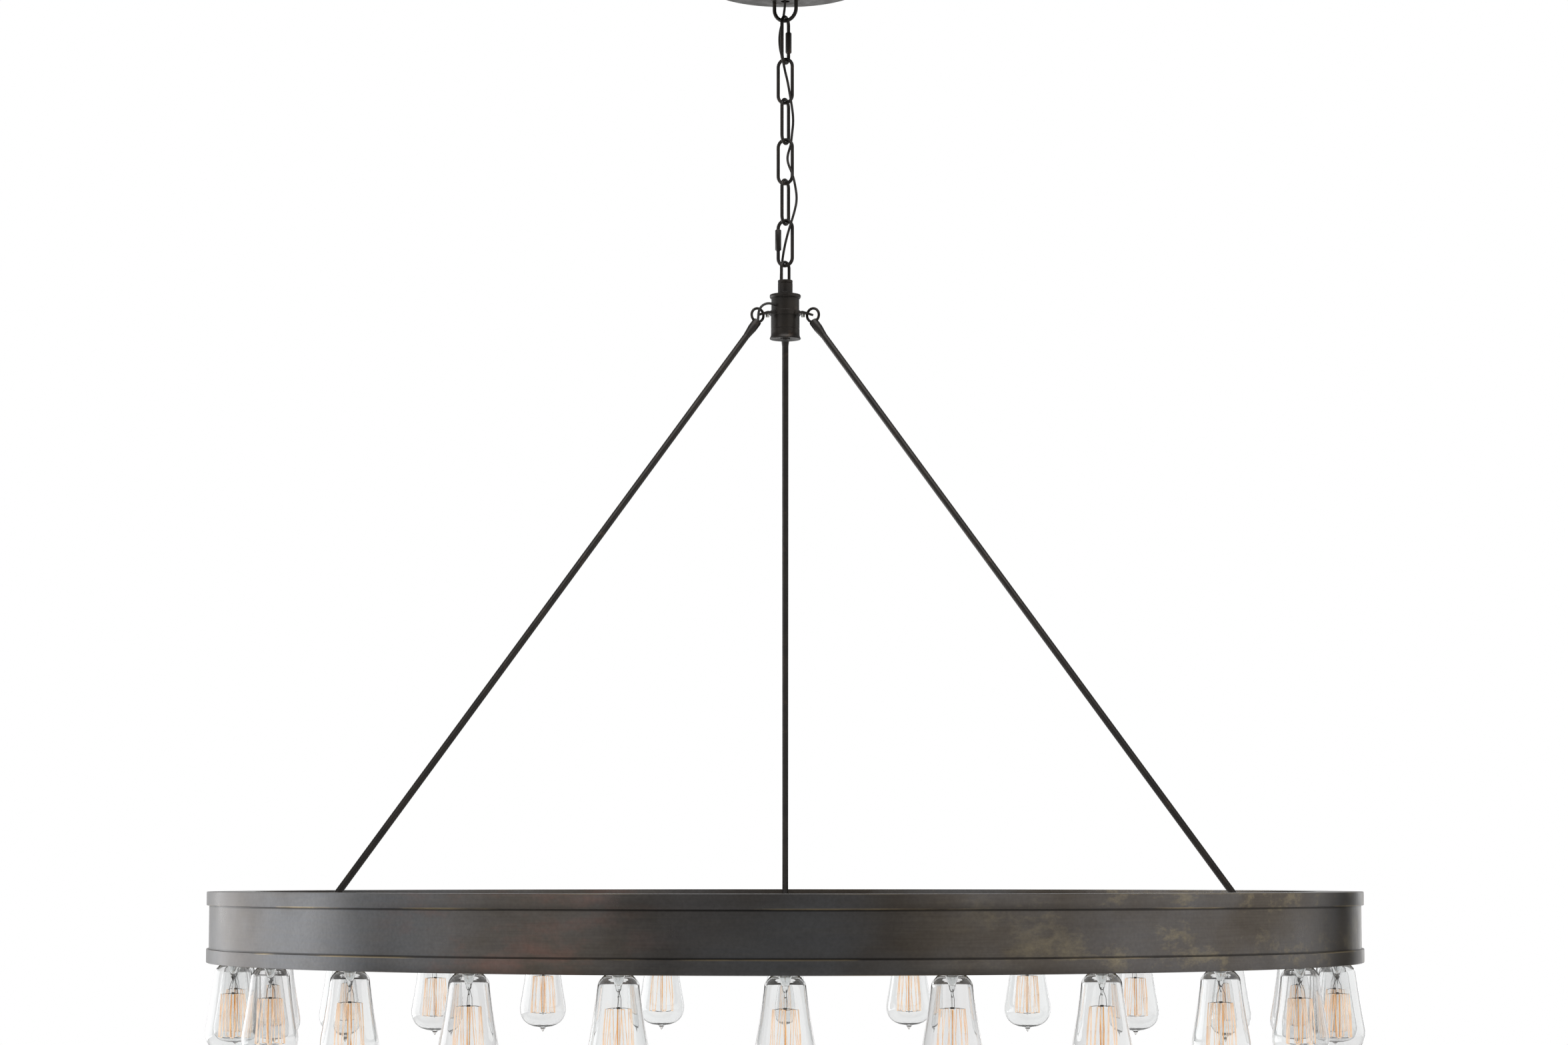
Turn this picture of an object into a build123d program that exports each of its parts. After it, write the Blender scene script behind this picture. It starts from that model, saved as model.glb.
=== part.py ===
"""A ring chandelier: a hollow metal ring with pendant bulbs, hung by three rods, a hub and a chain."""

import math
import os

from build123d import *

os.makedirs("parts", exist_ok=True)

# Driving dimensions, in millimetres. The origin is on the ceiling, at the fixture's axis.

# General fits
PLAY = 0.35  # round what slides or passes through
LINK_PLAY = 0.3  # between the wires of two links
FIT = 0.05  # round a stub or a shank in its own bore
WIRE_SIDES = 8  # flats round a bent wire

# Ceiling plate
BAR_LENGTH = 112.0
BAR_WIDTH = 22.0
BAR_THICKNESS = 2.5
BOX_SCREW_SPACING = 88.9
BOX_SLOT_LENGTH = 14.0
BOX_SLOT_WIDTH = 4.6
BAR_BOSS_R = 8.0
BAR_BOSS_DROP = 4.0
NIPPLE_R = 4.9
NIPPLE_BORE_R = 3.4
NUT_ACROSS_FLATS = 15.0
NUT_THICKNESS = 4.0

# Canopy
CANOPY_R = 95.0
CANOPY_DEPTH = 20.3
CANOPY_WALL = 1.2
CANOPY_EDGE_R = 4.0
COLLAR_RING_R = 22.0
COLLAR_RING_HEIGHT = 8.0
COLLAR_NOTCHES = 18
COLLAR_NOTCH_R = 1.6

# Canopy loop
LOOP_BASE_R = 17.0
LOOP_BASE_TOP = 12.0
LOOP_BASE_BOTTOM = 36.0
LOOP_CORD_HOLE_R = 5.5
LOOP_WIRE_R = 2.3
LOOP_BEND_R = 14.55
LOOP_DROP = 60.0  # the middle of its lowest wire, below the ceiling

# Chain
LINK_WIRE_R = 2.05
LINK_BEND_R = 9.45
LINK_SPACING = 54.3  # between the middles of a plain link's end wires
QUICK_WIRE_R = 2.1
QUICK_TOP_SPACING = 57.0
QUICK_BOTTOM_SPACING = 55.7
CHAIN_LINKS = 4
CHAIN_TURN = -25.0  # of the canopy loop's plane and each second link's, from the picture plane
SLEEVE_R = 3.25
SLEEVE_LENGTH = 26.0
SLEEVE_TOP_LEVEL = -98.6  # of the upper sleeve's lower end
SLEEVE_BOTTOM_LEVEL = -343.9  # of the lower sleeve's lower end
GATE_GAP = 4.8
GATE_COVER = 1.2  # of sleeve beyond the gap

# Lamp cord
CORD_R = 1.5
LEAD_R = 1.5

# Hub
HUB_LOOP_WIRE_R = 1.9
HUB_LOOP_BEND_R = 7.0
HUB_LOOP_HEIGHT = 24.1  # from its top to the collar
HUB_LOOP_TURN = 48.5
HUB_LEG_DEPTH = 5.0
HUB_COLLAR_R = 9.0
HUB_COLLAR_HEIGHT = 15.0
HUB_CAP_R = 19.0
HUB_CAP_HEIGHT = 8.0
HUB_UPPER_R = 17.0
HUB_UPPER_HEIGHT = 14.4
HUB_WALL = 1.5
TAB_RING_R = 17.6
TAB_RING_HEIGHT = 6.6
TAB_THICKNESS = 2.8
TAB_RISE = 2.0  # from the tab ring's underside up to the middle of the tabs' sheet
TAB_WIDTH = 13.2
TAB_HOLE_R = 2.4
TAB_HOLE_RADIUS = 31.0  # of the three holes, from the axis
TAB_DROP = 20.0  # degrees that a tab's end is bent down
TAB_BEND_RADIUS = 28.0  # of the bend, from the axis
TAB_TIP = 7.0  # from the hole to the end
HUB_LOWER_R = 17.4
HUB_LOWER_HEIGHT = 21.5
HUB_RIM_R = 19.0
HUB_RIM_HEIGHT = 7.0
STUD_R = 3.0
STUD_NUT_FLATS = 10.0
STUD_NUT_HEIGHT = 4.0
TAB_SCREW_R = 1.5
TAB_SCREW_RADIUS = 25.0
TAB_SCREW_HEAD_R = 2.2
TAB_SCREW_HEAD_HEIGHT = 4.0

# Rods
ROD_R = 4.0
ROD_AZIMUTHS = {"left": 210.0, "right": 330.0, "rear": 90.0}
EYE_WIRE_R = 1.6
EYE_BEND_R = 8.2
EYE_TURN = 32.0  # degrees from the rod's line up to the eye's middle, seen from the hole
FERRULE_R = 5.5
FERRULE_START = 12.8  # from the hole, along the rod
FERRULE_LENGTH = 24.0
FERRULE_TAPER = 12.0
ROD_STUB_R = 2.5
ROD_STUB_LENGTH = 10.0

# Ring
RING_R = 686.0
RING_HEIGHT = 82.5
RING_TOP_DROP = 1122.5  # from the ceiling to the ring's top
RING_WIDTH = 55.0
RING_WALL = 1.5
BAND_HEIGHT = 16.0
BAND_THICKNESS = 3.0
BAND_EDGE_R = 0.8
LUG_REACH = 19.0  # from the inner wall in to the middle of a lug's hole
LUG_HOLE_DROP = 1165.7
LUG_HOLE_R = 2.8
LUG_WIDTH = 16.0
LUG_THICKNESS = 2.8
LUG_LEG_HEIGHT = 26.0
RIVET_R = 2.0
RIVET_HEAD_R = 3.6
RIVET_HEAD_HEIGHT = 1.4
POST_COUNT = 12
POST_FLATS = 8.0
POST_SCREW_R = 2.0
POST_SCREW_HEAD_R = 3.8

# Lamps
BULB_COUNT = 24
BULB_OFFSET = 1.0  # of the lamps' circle, outwards from the middle of the ring's width
SOCKET_R = 21.5
SOCKET_HEIGHT = 36.0
SOCKET_FLOOR = 4.0
SOCKET_SKIRT_DEPTH = 4.5
CAP_R = 13.2
CAP_HEIGHT = 26.0
CAP_SHOULDER_R = 4.8
CAP_SHOULDER_HEIGHT = 3.0
BULB_SEAT = 1.5  # from the plate's underside up to the cap's lower edge
GLASS_WALL = 1.0
NECK_R = 18.6
SHOULDER_R = 21.5
SHOULDER_DROP = 8.6
SIDE_R = 28.2
SIDE_DROP = 49.0
BELLY_R = 31.5
BELLY_DROP = 77.0
DOME_R = 26.8
DOME_SIDE_DROP = 91.5
DOME_DROP = 102.0
PIP_DROP = 110.0
PIP_R = 4.0
STEM_R = 5.5
STEM_DROP = 32.0
ROD_OF_STEM_R = 1.2
FILAMENT_TOP_R = 13.5
FILAMENT_LOW_R = 16.5
FILAMENT_DROP = 86.0
FILAMENT_R = 0.35
FILAMENT_STRANDS = 4
WIRING_OFFSET = 13.0  # from the lamps' circle in to the wiring
WIRING_WIDTH = 6.0
WIRING_HEIGHT = 2.5

# Levels, below the ceiling, from the sizes above
bar_bottom = BAR_THICKNESS + BAR_BOSS_DROP
nut_bottom = bar_bottom + NUT_THICKNESS
canopy_hole_r = LOOP_BASE_R + PLAY + 0.05
ring_bottom = RING_TOP_DROP + RING_HEIGHT
plate_top = ring_bottom - RING_WALL
cover_bottom = RING_TOP_DROP + RING_WALL
wall_r = RING_R - BAND_THICKNESS
inner_r = RING_R - RING_WIDTH
lug_hole_radius = inner_r - LUG_REACH
bulb_circle_r = (wall_r + inner_r) / 2 + BULB_OFFSET
wiring_radius = bulb_circle_r - WIRING_OFFSET


def radial_plane(azimuth):
    """The upright plane through the axis: its x runs outwards at the azimuth and its y runs up."""
    a = math.radians(azimuth)
    return Plane(origin=(0, 0, 0), x_dir=(math.cos(a), math.sin(a), 0), z_dir=(math.sin(a), -math.cos(a), 0))


def outwards(azimuth, radius, height):
    """The point at this radius and height, on the azimuth."""
    a = math.radians(azimuth)
    return Vector(radius * math.cos(a), radius * math.sin(a), height)


def wire_section(plane, radius):
    """A flat-sided section for a bent wire, with a flat on each axis of its plane."""
    with BuildSketch(plane) as section:
        RegularPolygon(radius, WIRE_SIDES, major_radius=False, rotation=180 / WIRE_SIDES)
    return section


def closed_link(top, spacing, bend_r, wire_r, azimuth):
    """A closed link in the azimuth's plane. top is the height of the middle of its upper wire."""
    plane = radial_plane(azimuth)
    upper, lower = top - bend_r, top - spacing + bend_r
    with BuildPart() as link:
        with BuildLine(plane):
            right = Line((bend_r, (upper + lower) / 2), (bend_r, upper))
            crown = TangentArc(right @ 1, (-bend_r, upper), tangent=right % 1)
            left = Line(crown @ 1, (-bend_r, lower))
            foot = TangentArc(left @ 1, (bend_r, lower), tangent=left % 1)
            Line(foot @ 1, right @ 0)
        section = Plane(origin=plane.from_local_coords((bend_r, (upper + lower) / 2, 0)), z_dir=(0, 0, 1))
        with BuildSketch(Plane(section.origin, x_dir=plane.x_dir, z_dir=(0, 0, 1))):
            RegularPolygon(wire_r, WIRE_SIDES, major_radius=False, rotation=180 / WIRE_SIDES)
        sweep()
    return link


def bail(top, height, bend_r, wire_r, azimuth, crown_up):
    """An open loop: a half turn of wire with two straight legs. top is the middle of the turn's wire."""
    plane = radial_plane(azimuth)
    way = 1 if crown_up else -1
    turn = top - way * bend_r
    ends = top - way * height
    with BuildPart() as loop:
        with BuildLine(plane):
            rise = Line((bend_r, ends), (bend_r, turn))
            crown = TangentArc(rise @ 1, (-bend_r, turn), tangent=rise % 1)
            Line(crown @ 1, (-bend_r, ends))
        foot = plane.from_local_coords((bend_r, ends, 0))
        with BuildSketch(Plane(foot, x_dir=plane.x_dir, z_dir=(0, 0, 1))):
            RegularPolygon(wire_r, WIRE_SIDES, major_radius=False, rotation=180 / WIRE_SIDES)
        sweep()
    return loop


def limp_cord(points, radius, label):
    """A tube along straight runs joined by arcs that are as large as the runs allow."""
    radii = []
    for before, corner, after in zip(points, points[1:], points[2:]):
        run_in, run_out = corner - before, after - corner
        half_turn = math.radians(run_in.get_angle(run_out)) / 2
        radii.append(0.45 * min(run_in.length, run_out.length) / math.tan(half_turn))
    print(label, "bend radii", [round(r, 1) for r in radii])
    with BuildPart() as cord:
        with BuildLine() as route:
            FilletPolyline(*points, radius=radii)
        start = Plane(points[0], z_dir=points[1] - points[0])
        with BuildSketch(start):
            RegularPolygon(radius, WIRE_SIDES, major_radius=False, rotation=180 / WIRE_SIDES)
        sweep()
    length = sum(edge.length for edge in route.edges())
    section = WIRE_SIDES * radius**2 * math.tan(math.pi / WIRE_SIDES)
    print(label, "length", round(length, 1), "volume", round(cord.part.volume, 1), "of", round(section * length, 1))
    return cord


# Ceiling plate: a flat bar with a tapped boss and a slot for each box screw
with BuildPart() as crossbar:
    with BuildSketch(Plane.XY.offset(-BAR_THICKNESS)):
        SlotOverall(BAR_LENGTH, BAR_WIDTH)
    extrude(amount=BAR_THICKNESS)
    with BuildSketch(Plane.XY.offset(-bar_bottom)):
        Circle(BAR_BOSS_R)
    extrude(amount=BAR_BOSS_DROP)
    with BuildSketch(Plane.XY):
        with GridLocations(BOX_SCREW_SPACING, 0, 2, 1):
            SlotOverall(BOX_SLOT_LENGTH, BOX_SLOT_WIDTH)
    extrude(amount=-BAR_THICKNESS, mode=Mode.SUBTRACT)
    with Locations((0, 0, 0)):
        Hole(NIPPLE_R + FIT)
crossbar.part.label = "crossbar"
export_step(crossbar.part, "parts/crossbar.step")

# Threaded nipple, a tube that carries the loop and lets the cord through
nipple_bottom = LOOP_BASE_TOP + 10.0
with BuildPart() as nipple:
    with BuildSketch(Plane.XY.offset(-nipple_bottom)):
        Circle(NIPPLE_R)
        Circle(NIPPLE_BORE_R, mode=Mode.SUBTRACT)
    extrude(amount=nipple_bottom - 0.5)
nipple.part.label = "nipple"
export_step(nipple.part, "parts/nipple.step")

# Lock nut under the boss
with BuildPart() as nipple_nut:
    with BuildSketch(Plane.XY.offset(-nut_bottom)):
        RegularPolygon(NUT_ACROSS_FLATS / 2, 6, major_radius=False)
        Circle(NIPPLE_R + FIT, mode=Mode.SUBTRACT)
    extrude(amount=NUT_THICKNESS)
nipple_nut.part.label = "nipple_nut"
export_step(nipple_nut.part, "parts/nipple_nut.step")

# Canopy loop: a round base on the nipple, and a bail that the chain hangs from
loop_bail = bail(-LOOP_DROP, LOOP_DROP - LOOP_BASE_BOTTOM + 1, LOOP_BEND_R, LOOP_WIRE_R, CHAIN_TURN, False)
with BuildPart() as canopy_loop:
    with BuildSketch(Plane.XY.offset(-LOOP_BASE_BOTTOM)):
        Circle(LOOP_BASE_R)
    extrude(amount=LOOP_BASE_BOTTOM - LOOP_BASE_TOP)
    base_edges = canopy_loop.edges().filter_by(GeomType.CIRCLE).group_by(Axis.Z)[0]
    chamfer(base_edges, 0.4)
    add(loop_bail.part)
    with BuildSketch(Plane.XY.offset(-LOOP_BASE_TOP)):
        Circle(NIPPLE_R + FIT)
    extrude(amount=LOOP_BASE_TOP - nipple_bottom, mode=Mode.SUBTRACT)
    with BuildSketch(Plane.XY.offset(-LOOP_BASE_BOTTOM)):
        Circle(LOOP_CORD_HOLE_R)
    extrude(amount=LOOP_BASE_BOTTOM - nipple_bottom - 2.0, mode=Mode.SUBTRACT)
    with BuildSketch(Plane.XY.offset(-nipple_bottom - 2.0)):
        Circle(NIPPLE_BORE_R)
    extrude(amount=2.0, mode=Mode.SUBTRACT)
canopy_loop.part.label = "canopy_loop"
export_step(canopy_loop.part, "parts/canopy_loop.step")

# Canopy: a shallow pan with a rounded lower edge and a hole for the loop's base
with BuildPart() as canopy:
    with BuildSketch(Plane.XY.offset(-CANOPY_DEPTH)):
        Circle(CANOPY_R)
    extrude(amount=CANOPY_DEPTH)
    fillet(canopy.edges().filter_by(GeomType.CIRCLE).group_by(Axis.Z)[0], CANOPY_EDGE_R)
    rim = canopy.faces().sort_by(Axis.Z)[-1]
    offset(amount=-CANOPY_WALL, openings=rim)
    with BuildSketch(Plane.XY.offset(-CANOPY_DEPTH)):
        Circle(canopy_hole_r)
    extrude(amount=CANOPY_WALL * 2, mode=Mode.SUBTRACT)
canopy.part.label = "canopy"
export_step(canopy.part, "parts/canopy.step")

# Collar ring that is screwed up under the canopy
with BuildPart() as canopy_collar:
    with BuildSketch(Plane.XY.offset(-CANOPY_DEPTH - COLLAR_RING_HEIGHT)):
        Circle(COLLAR_RING_R)
        Circle(canopy_hole_r, mode=Mode.SUBTRACT)
        with PolarLocations(COLLAR_RING_R, COLLAR_NOTCHES):
            Circle(COLLAR_NOTCH_R, mode=Mode.SUBTRACT)
    extrude(amount=COLLAR_RING_HEIGHT)
canopy_collar.part.label = "canopy_collar"
export_step(canopy_collar.part, "parts/canopy_collar.step")


def quick_link(top, spacing, azimuth, gate_side, sleeve_low, gap_low):
    """A link whose gate leg has a gap, closed by a screwed sleeve. gate_side is 1 outwards or -1."""
    body = closed_link(top, spacing, LINK_BEND_R, QUICK_WIRE_R, azimuth)
    leg = outwards(azimuth, gate_side * LINK_BEND_R, 0)
    with BuildPart() as link:
        add(body.part)
        with BuildSketch(Plane(leg + Vector(0, 0, gap_low), z_dir=(0, 0, 1))):
            Circle(QUICK_WIRE_R * 2)
        extrude(amount=GATE_GAP, mode=Mode.SUBTRACT)
    with BuildPart() as sleeve:
        with BuildSketch(Plane(leg + Vector(0, 0, sleeve_low), z_dir=(0, 0, 1))):
            RegularPolygon(SLEEVE_R, 6, major_radius=False)
            Circle(QUICK_WIRE_R + PLAY, mode=Mode.SUBTRACT)
        extrude(amount=SLEEVE_LENGTH)
    return link, sleeve


# Chain, from the top down: each link's upper wire rests in the lower bend of the one above
edge_turn = CHAIN_TURN + 90
top = -LOOP_DROP + LOOP_WIRE_R + QUICK_WIRE_R + LINK_PLAY
quick_link_top, quick_link_top_sleeve = quick_link(
    top, QUICK_TOP_SPACING, edge_turn, 1, SLEEVE_TOP_LEVEL, SLEEVE_TOP_LEVEL + GATE_COVER
)
print("quick link top", round(top, 2), round(top - QUICK_TOP_SPACING, 2))
top += QUICK_WIRE_R + LINK_WIRE_R + LINK_PLAY - QUICK_TOP_SPACING
quick_link_top.part.label = "quick_link_top"
export_step(quick_link_top.part, "parts/quick_link_top.step")
quick_link_top_sleeve.part.label = "quick_link_top_sleeve"
export_step(quick_link_top_sleeve.part, "parts/quick_link_top_sleeve.step")
for number in range(1, CHAIN_LINKS + 1):
    azimuth = CHAIN_TURN if number % 2 else edge_turn
    chain_link = closed_link(top, LINK_SPACING, LINK_BEND_R, LINK_WIRE_R, azimuth)
    print("chain link", number, round(top, 2), round(top - LINK_SPACING, 2))
    top += 2 * LINK_WIRE_R + LINK_PLAY - LINK_SPACING
    chain_link.part.label = f"chain_link_{number}"
    export_step(chain_link.part, f"parts/chain_link_{number}.step")
top += QUICK_WIRE_R - LINK_WIRE_R
quick_link_bottom, quick_link_bottom_sleeve = quick_link(
    top,
    QUICK_BOTTOM_SPACING,
    CHAIN_TURN,
    -1,
    SLEEVE_BOTTOM_LEVEL,
    SLEEVE_BOTTOM_LEVEL + SLEEVE_LENGTH - GATE_COVER - GATE_GAP,
)
print("quick link bottom", round(top, 2), round(top - QUICK_BOTTOM_SPACING, 2))
quick_link_bottom.part.label = "quick_link_bottom"
export_step(quick_link_bottom.part, "parts/quick_link_bottom.step")
quick_link_bottom_sleeve.part.label = "quick_link_bottom_sleeve"
export_step(quick_link_bottom_sleeve.part, "parts/quick_link_bottom_sleeve.step")

# Hub levels, from the last link down
hub_loop_top = top - QUICK_BOTTOM_SPACING + QUICK_WIRE_R + HUB_LOOP_WIRE_R + LINK_PLAY
collar_top = hub_loop_top + HUB_LOOP_WIRE_R - HUB_LOOP_HEIGHT
cap_top = collar_top - HUB_COLLAR_HEIGHT
upper_top = cap_top - HUB_CAP_HEIGHT
tab_top = upper_top - HUB_UPPER_HEIGHT
lower_top = tab_top - TAB_RING_HEIGHT
rim_top = lower_top - HUB_LOWER_HEIGHT
hub_bottom = rim_top - HUB_RIM_HEIGHT
print("hub levels", [round(v, 2) for v in (hub_loop_top, collar_top, cap_top, upper_top, tab_top, lower_top, rim_top, hub_bottom)])

# Hub loop: a bail whose two legs are set into the collar
hub_loop = bail(
    hub_loop_top, hub_loop_top - collar_top + HUB_LEG_DEPTH, HUB_LOOP_BEND_R, HUB_LOOP_WIRE_R, HUB_LOOP_TURN, True
)
hub_loop.part.label = "hub_loop"
export_step(hub_loop.part, "parts/hub_loop.step")

# The cord goes into the collar beside the loop, and on into the hub's upper body
cord_entry = Vector(-5.5, 1.9, 0)
splice_place = Vector(-6.2, 2.1, 0)
splice_r = 2.5
leg_holes = [outwards(HUB_LOOP_TURN, side * HUB_LOOP_BEND_R, collar_top) for side in (1, -1)]

# Collar: turned, with a groove near its top
with BuildPart() as hub_collar:
    with BuildSketch(Plane.XZ):
        with BuildLine():
            Polyline(
                (0, collar_top),
                (HUB_COLLAR_R, collar_top),
                (HUB_COLLAR_R, collar_top - 3.2),
                (HUB_COLLAR_R - 0.5, collar_top - 3.6),
                (HUB_COLLAR_R, collar_top - 4.0),
                (HUB_COLLAR_R, cap_top),
                (0, cap_top),
                close=True,
            )
        make_face()
    revolve(axis=Axis.Z)
    for place in leg_holes:
        with BuildSketch(Plane(place, z_dir=(0, 0, 1))):
            Circle(HUB_LOOP_WIRE_R / math.cos(math.pi / WIRE_SIDES) + FIT)
        extrude(amount=-HUB_LEG_DEPTH, mode=Mode.SUBTRACT)
    with BuildSketch(Plane(cord_entry + Vector(0, 0, collar_top), z_dir=(0, 0, 1))):
        Circle(CORD_R + PLAY)
    extrude(amount=-HUB_COLLAR_HEIGHT, mode=Mode.SUBTRACT)
    with BuildSketch(Plane.XY.offset(cap_top)):
        Circle(STUD_R + FIT)
    extrude(amount=9.0, mode=Mode.SUBTRACT)
hub_collar.part.label = "hub_collar"
export_step(hub_collar.part, "parts/hub_collar.step")

# Cap: a cove that flares from the collar to a rounded edge
cap_edge = 5.2
with BuildPart() as hub_cap:
    with BuildSketch(Plane.XZ):
        with BuildLine():
            Polyline(
                (0, cap_top),
                (HUB_COLLAR_R, cap_top),
                (HUB_COLLAR_R + 0.6, cap_top - 0.9),
                (HUB_COLLAR_R + 3.2, cap_top - 1.9),
                (HUB_CAP_R - 1.5, upper_top + cap_edge),
                (HUB_CAP_R, upper_top + cap_edge - 1.5),
                (HUB_CAP_R, upper_top + 1.5),
                (HUB_CAP_R - 1.5, upper_top),
                (0, upper_top),
                (0, cap_top),
            )
        make_face()
    revolve(axis=Axis.Z)
    with BuildSketch(Plane.XY.offset(upper_top)):
        Circle(STUD_R + FIT)
        with Locations((cord_entry.X, cord_entry.Y)):
            Circle(CORD_R + PLAY)
    extrude(amount=HUB_CAP_HEIGHT, mode=Mode.SUBTRACT)
hub_cap.part.label = "hub_cap"
export_step(hub_cap.part, "parts/hub_cap.step")

# Upper body: a tube with a hole that the lead to the left rod comes out of
lead_azimuth = 226.0
lead_level = tab_top + 4.4
with BuildPart() as hub_upper_body:
    with BuildSketch(Plane.XY.offset(tab_top)):
        Circle(HUB_UPPER_R)
        Circle(HUB_UPPER_R - HUB_WALL, mode=Mode.SUBTRACT)
    extrude(amount=HUB_UPPER_HEIGHT)
    wall_point = outwards(lead_azimuth, HUB_UPPER_R - 4, lead_level)
    with BuildSketch(Plane(wall_point, z_dir=outwards(lead_azimuth, 1, 0))):
        Circle(LEAD_R + 1.0)
    extrude(amount=8.0, mode=Mode.SUBTRACT)
hub_upper_body.part.label = "hub_upper_body"
export_step(hub_upper_body.part, "parts/hub_upper_body.step")

# Tab ring: a thick disc between the bodies, with three tabs bent down towards the rods
tab_level = lower_top + TAB_RISE
tab_slope = math.radians(TAB_DROP)
tab_hole_level = tab_level - (TAB_HOLE_RADIUS - TAB_BEND_RADIUS) * math.tan(tab_slope)
tab_end_r = TAB_HOLE_RADIUS + TAB_TIP * math.cos(tab_slope)
tab_end = tab_hole_level - TAB_TIP * math.sin(tab_slope)
half_sheet = TAB_THICKNESS / 2
bend_shift = half_sheet * math.tan(tab_slope / 2)
end_out = half_sheet * math.sin(tab_slope)
end_up = half_sheet * math.cos(tab_slope)
with BuildPart() as hub_tab_plate:
    with BuildSketch(Plane.XY.offset(lower_top)):
        Circle(TAB_RING_R)
    extrude(amount=TAB_RING_HEIGHT)
    for azimuth in ROD_AZIMUTHS.values():
        with BuildSketch(radial_plane(azimuth)):
            with BuildLine():
                Polyline(
                    (TAB_RING_R - 4, tab_level - half_sheet),
                    (TAB_RING_R - 4, tab_level + half_sheet),
                    (TAB_BEND_RADIUS + bend_shift, tab_level + half_sheet),
                    (tab_end_r + end_out, tab_end + end_up),
                    (tab_end_r - end_out, tab_end - end_up),
                    (TAB_BEND_RADIUS - bend_shift, tab_level - half_sheet),
                    close=True,
                )
            make_face()
        extrude(amount=TAB_WIDTH / 2, both=True)
    tips = hub_tab_plate.edges().filter_by(lambda e: abs(e.length - TAB_THICKNESS) < 1e-4)
    tips = tips.filter_by(lambda e: math.hypot(e.center().X, e.center().Y) > tab_end_r - 1)
    fillet(tips, TAB_WIDTH * 0.4)
    for azimuth in ROD_AZIMUTHS.values():
        normal = outwards(azimuth, math.sin(tab_slope), math.cos(tab_slope))
        hole = outwards(azimuth, TAB_HOLE_RADIUS, tab_hole_level)
        with BuildSketch(Plane(hole - normal * TAB_THICKNESS, z_dir=normal)):
            Circle(TAB_HOLE_R)
        extrude(amount=2 * TAB_THICKNESS, mode=Mode.SUBTRACT)
        screw_place = outwards(azimuth, TAB_SCREW_RADIUS, tab_level - TAB_THICKNESS)
        with BuildSketch(Plane(screw_place, z_dir=(0, 0, 1))):
            Circle(TAB_SCREW_R + FIT)
        extrude(amount=2 * TAB_THICKNESS, mode=Mode.SUBTRACT)
    with BuildSketch(Plane.XY.offset(lower_top)):
        Circle(STUD_R + FIT)
    extrude(amount=TAB_RING_HEIGHT, mode=Mode.SUBTRACT)
hub_tab_plate.part.label = "hub_tab_plate"
export_step(hub_tab_plate.part, "parts/hub_tab_plate.step")

# A small screw under each tab
with BuildPart() as tab_screws:
    for azimuth in ROD_AZIMUTHS.values():
        seat = outwards(azimuth, TAB_SCREW_RADIUS, tab_level - half_sheet)
        with BuildSketch(Plane(seat, z_dir=(0, 0, -1))):
            Circle(TAB_SCREW_HEAD_R)
        extrude(amount=TAB_SCREW_HEAD_HEIGHT)
        with BuildSketch(Plane(seat, z_dir=(0, 0, 1))):
            Circle(TAB_SCREW_R)
        extrude(amount=TAB_THICKNESS)
tab_screws.part.label = "tab_screws"
export_step(tab_screws.part, "parts/tab_screws.step")

# Lower body
with BuildPart() as hub_lower_body:
    with BuildSketch(Plane.XY.offset(rim_top)):
        Circle(HUB_LOWER_R)
        Circle(HUB_LOWER_R - HUB_WALL, mode=Mode.SUBTRACT)
    extrude(amount=HUB_LOWER_HEIGHT)
hub_lower_body.part.label = "hub_lower_body"
export_step(hub_lower_body.part, "parts/hub_lower_body.step")

# Bottom cap: flared, with a dished underside and a pocket for the nut
with BuildPart() as hub_bottom_cap:
    with BuildSketch(Plane.XZ):
        with BuildLine():
            Polyline(
                (0, rim_top),
                (HUB_LOWER_R, rim_top),
                (HUB_LOWER_R, rim_top - 2.4),
                (HUB_LOWER_R + 0.6, hub_bottom + 2.6),
                (HUB_RIM_R, hub_bottom + 1.2),
                (HUB_RIM_R, hub_bottom),
                (HUB_RIM_R - 1.5, hub_bottom),
                (8.0, hub_bottom + 1.2),
                (0, hub_bottom + 1.2),
                (0, rim_top),
            )
        make_face()
    revolve(axis=Axis.Z)
    with BuildSketch(Plane.XY.offset(rim_top)):
        Circle(STUD_R + FIT)
    extrude(amount=-HUB_RIM_HEIGHT, mode=Mode.SUBTRACT)
    with BuildSketch(Plane.XY.offset(hub_bottom)):
        Circle(STUD_NUT_FLATS * 0.62)
    extrude(amount=STUD_NUT_HEIGHT, mode=Mode.SUBTRACT)
hub_bottom_cap.part.label = "hub_bottom_cap"
export_step(hub_bottom_cap.part, "parts/hub_bottom_cap.step")

# Central stud and its nut, which clamp the hub together
with BuildPart() as hub_stud:
    with BuildSketch(Plane.XY.offset(hub_bottom + 0.4)):
        Circle(STUD_R)
    extrude(amount=cap_top + 8.5 - hub_bottom - 0.4)
hub_stud.part.label = "hub_stud"
export_step(hub_stud.part, "parts/hub_stud.step")
with BuildPart() as hub_nut:
    with BuildSketch(Plane.XY.offset(hub_bottom)):
        RegularPolygon(STUD_NUT_FLATS / 2, 6, major_radius=False)
        Circle(STUD_R + FIT, mode=Mode.SUBTRACT)
    extrude(amount=STUD_NUT_HEIGHT)
hub_nut.part.label = "hub_nut"
export_step(hub_nut.part, "parts/hub_nut.step")

# Splice cap that joins the cord to the lead, standing on the tab plate
splice_top = tab_top + 10.0
with BuildPart() as cord_splice:
    with BuildSketch(Plane(splice_place + Vector(0, 0, tab_top), z_dir=(0, 0, 1))):
        RegularPolygon(splice_r, WIRE_SIDES, major_radius=False)
    extrude(amount=10.0)
cord_splice.part.label = "cord_splice"
export_step(cord_splice.part, "parts/cord_splice.step")


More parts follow.
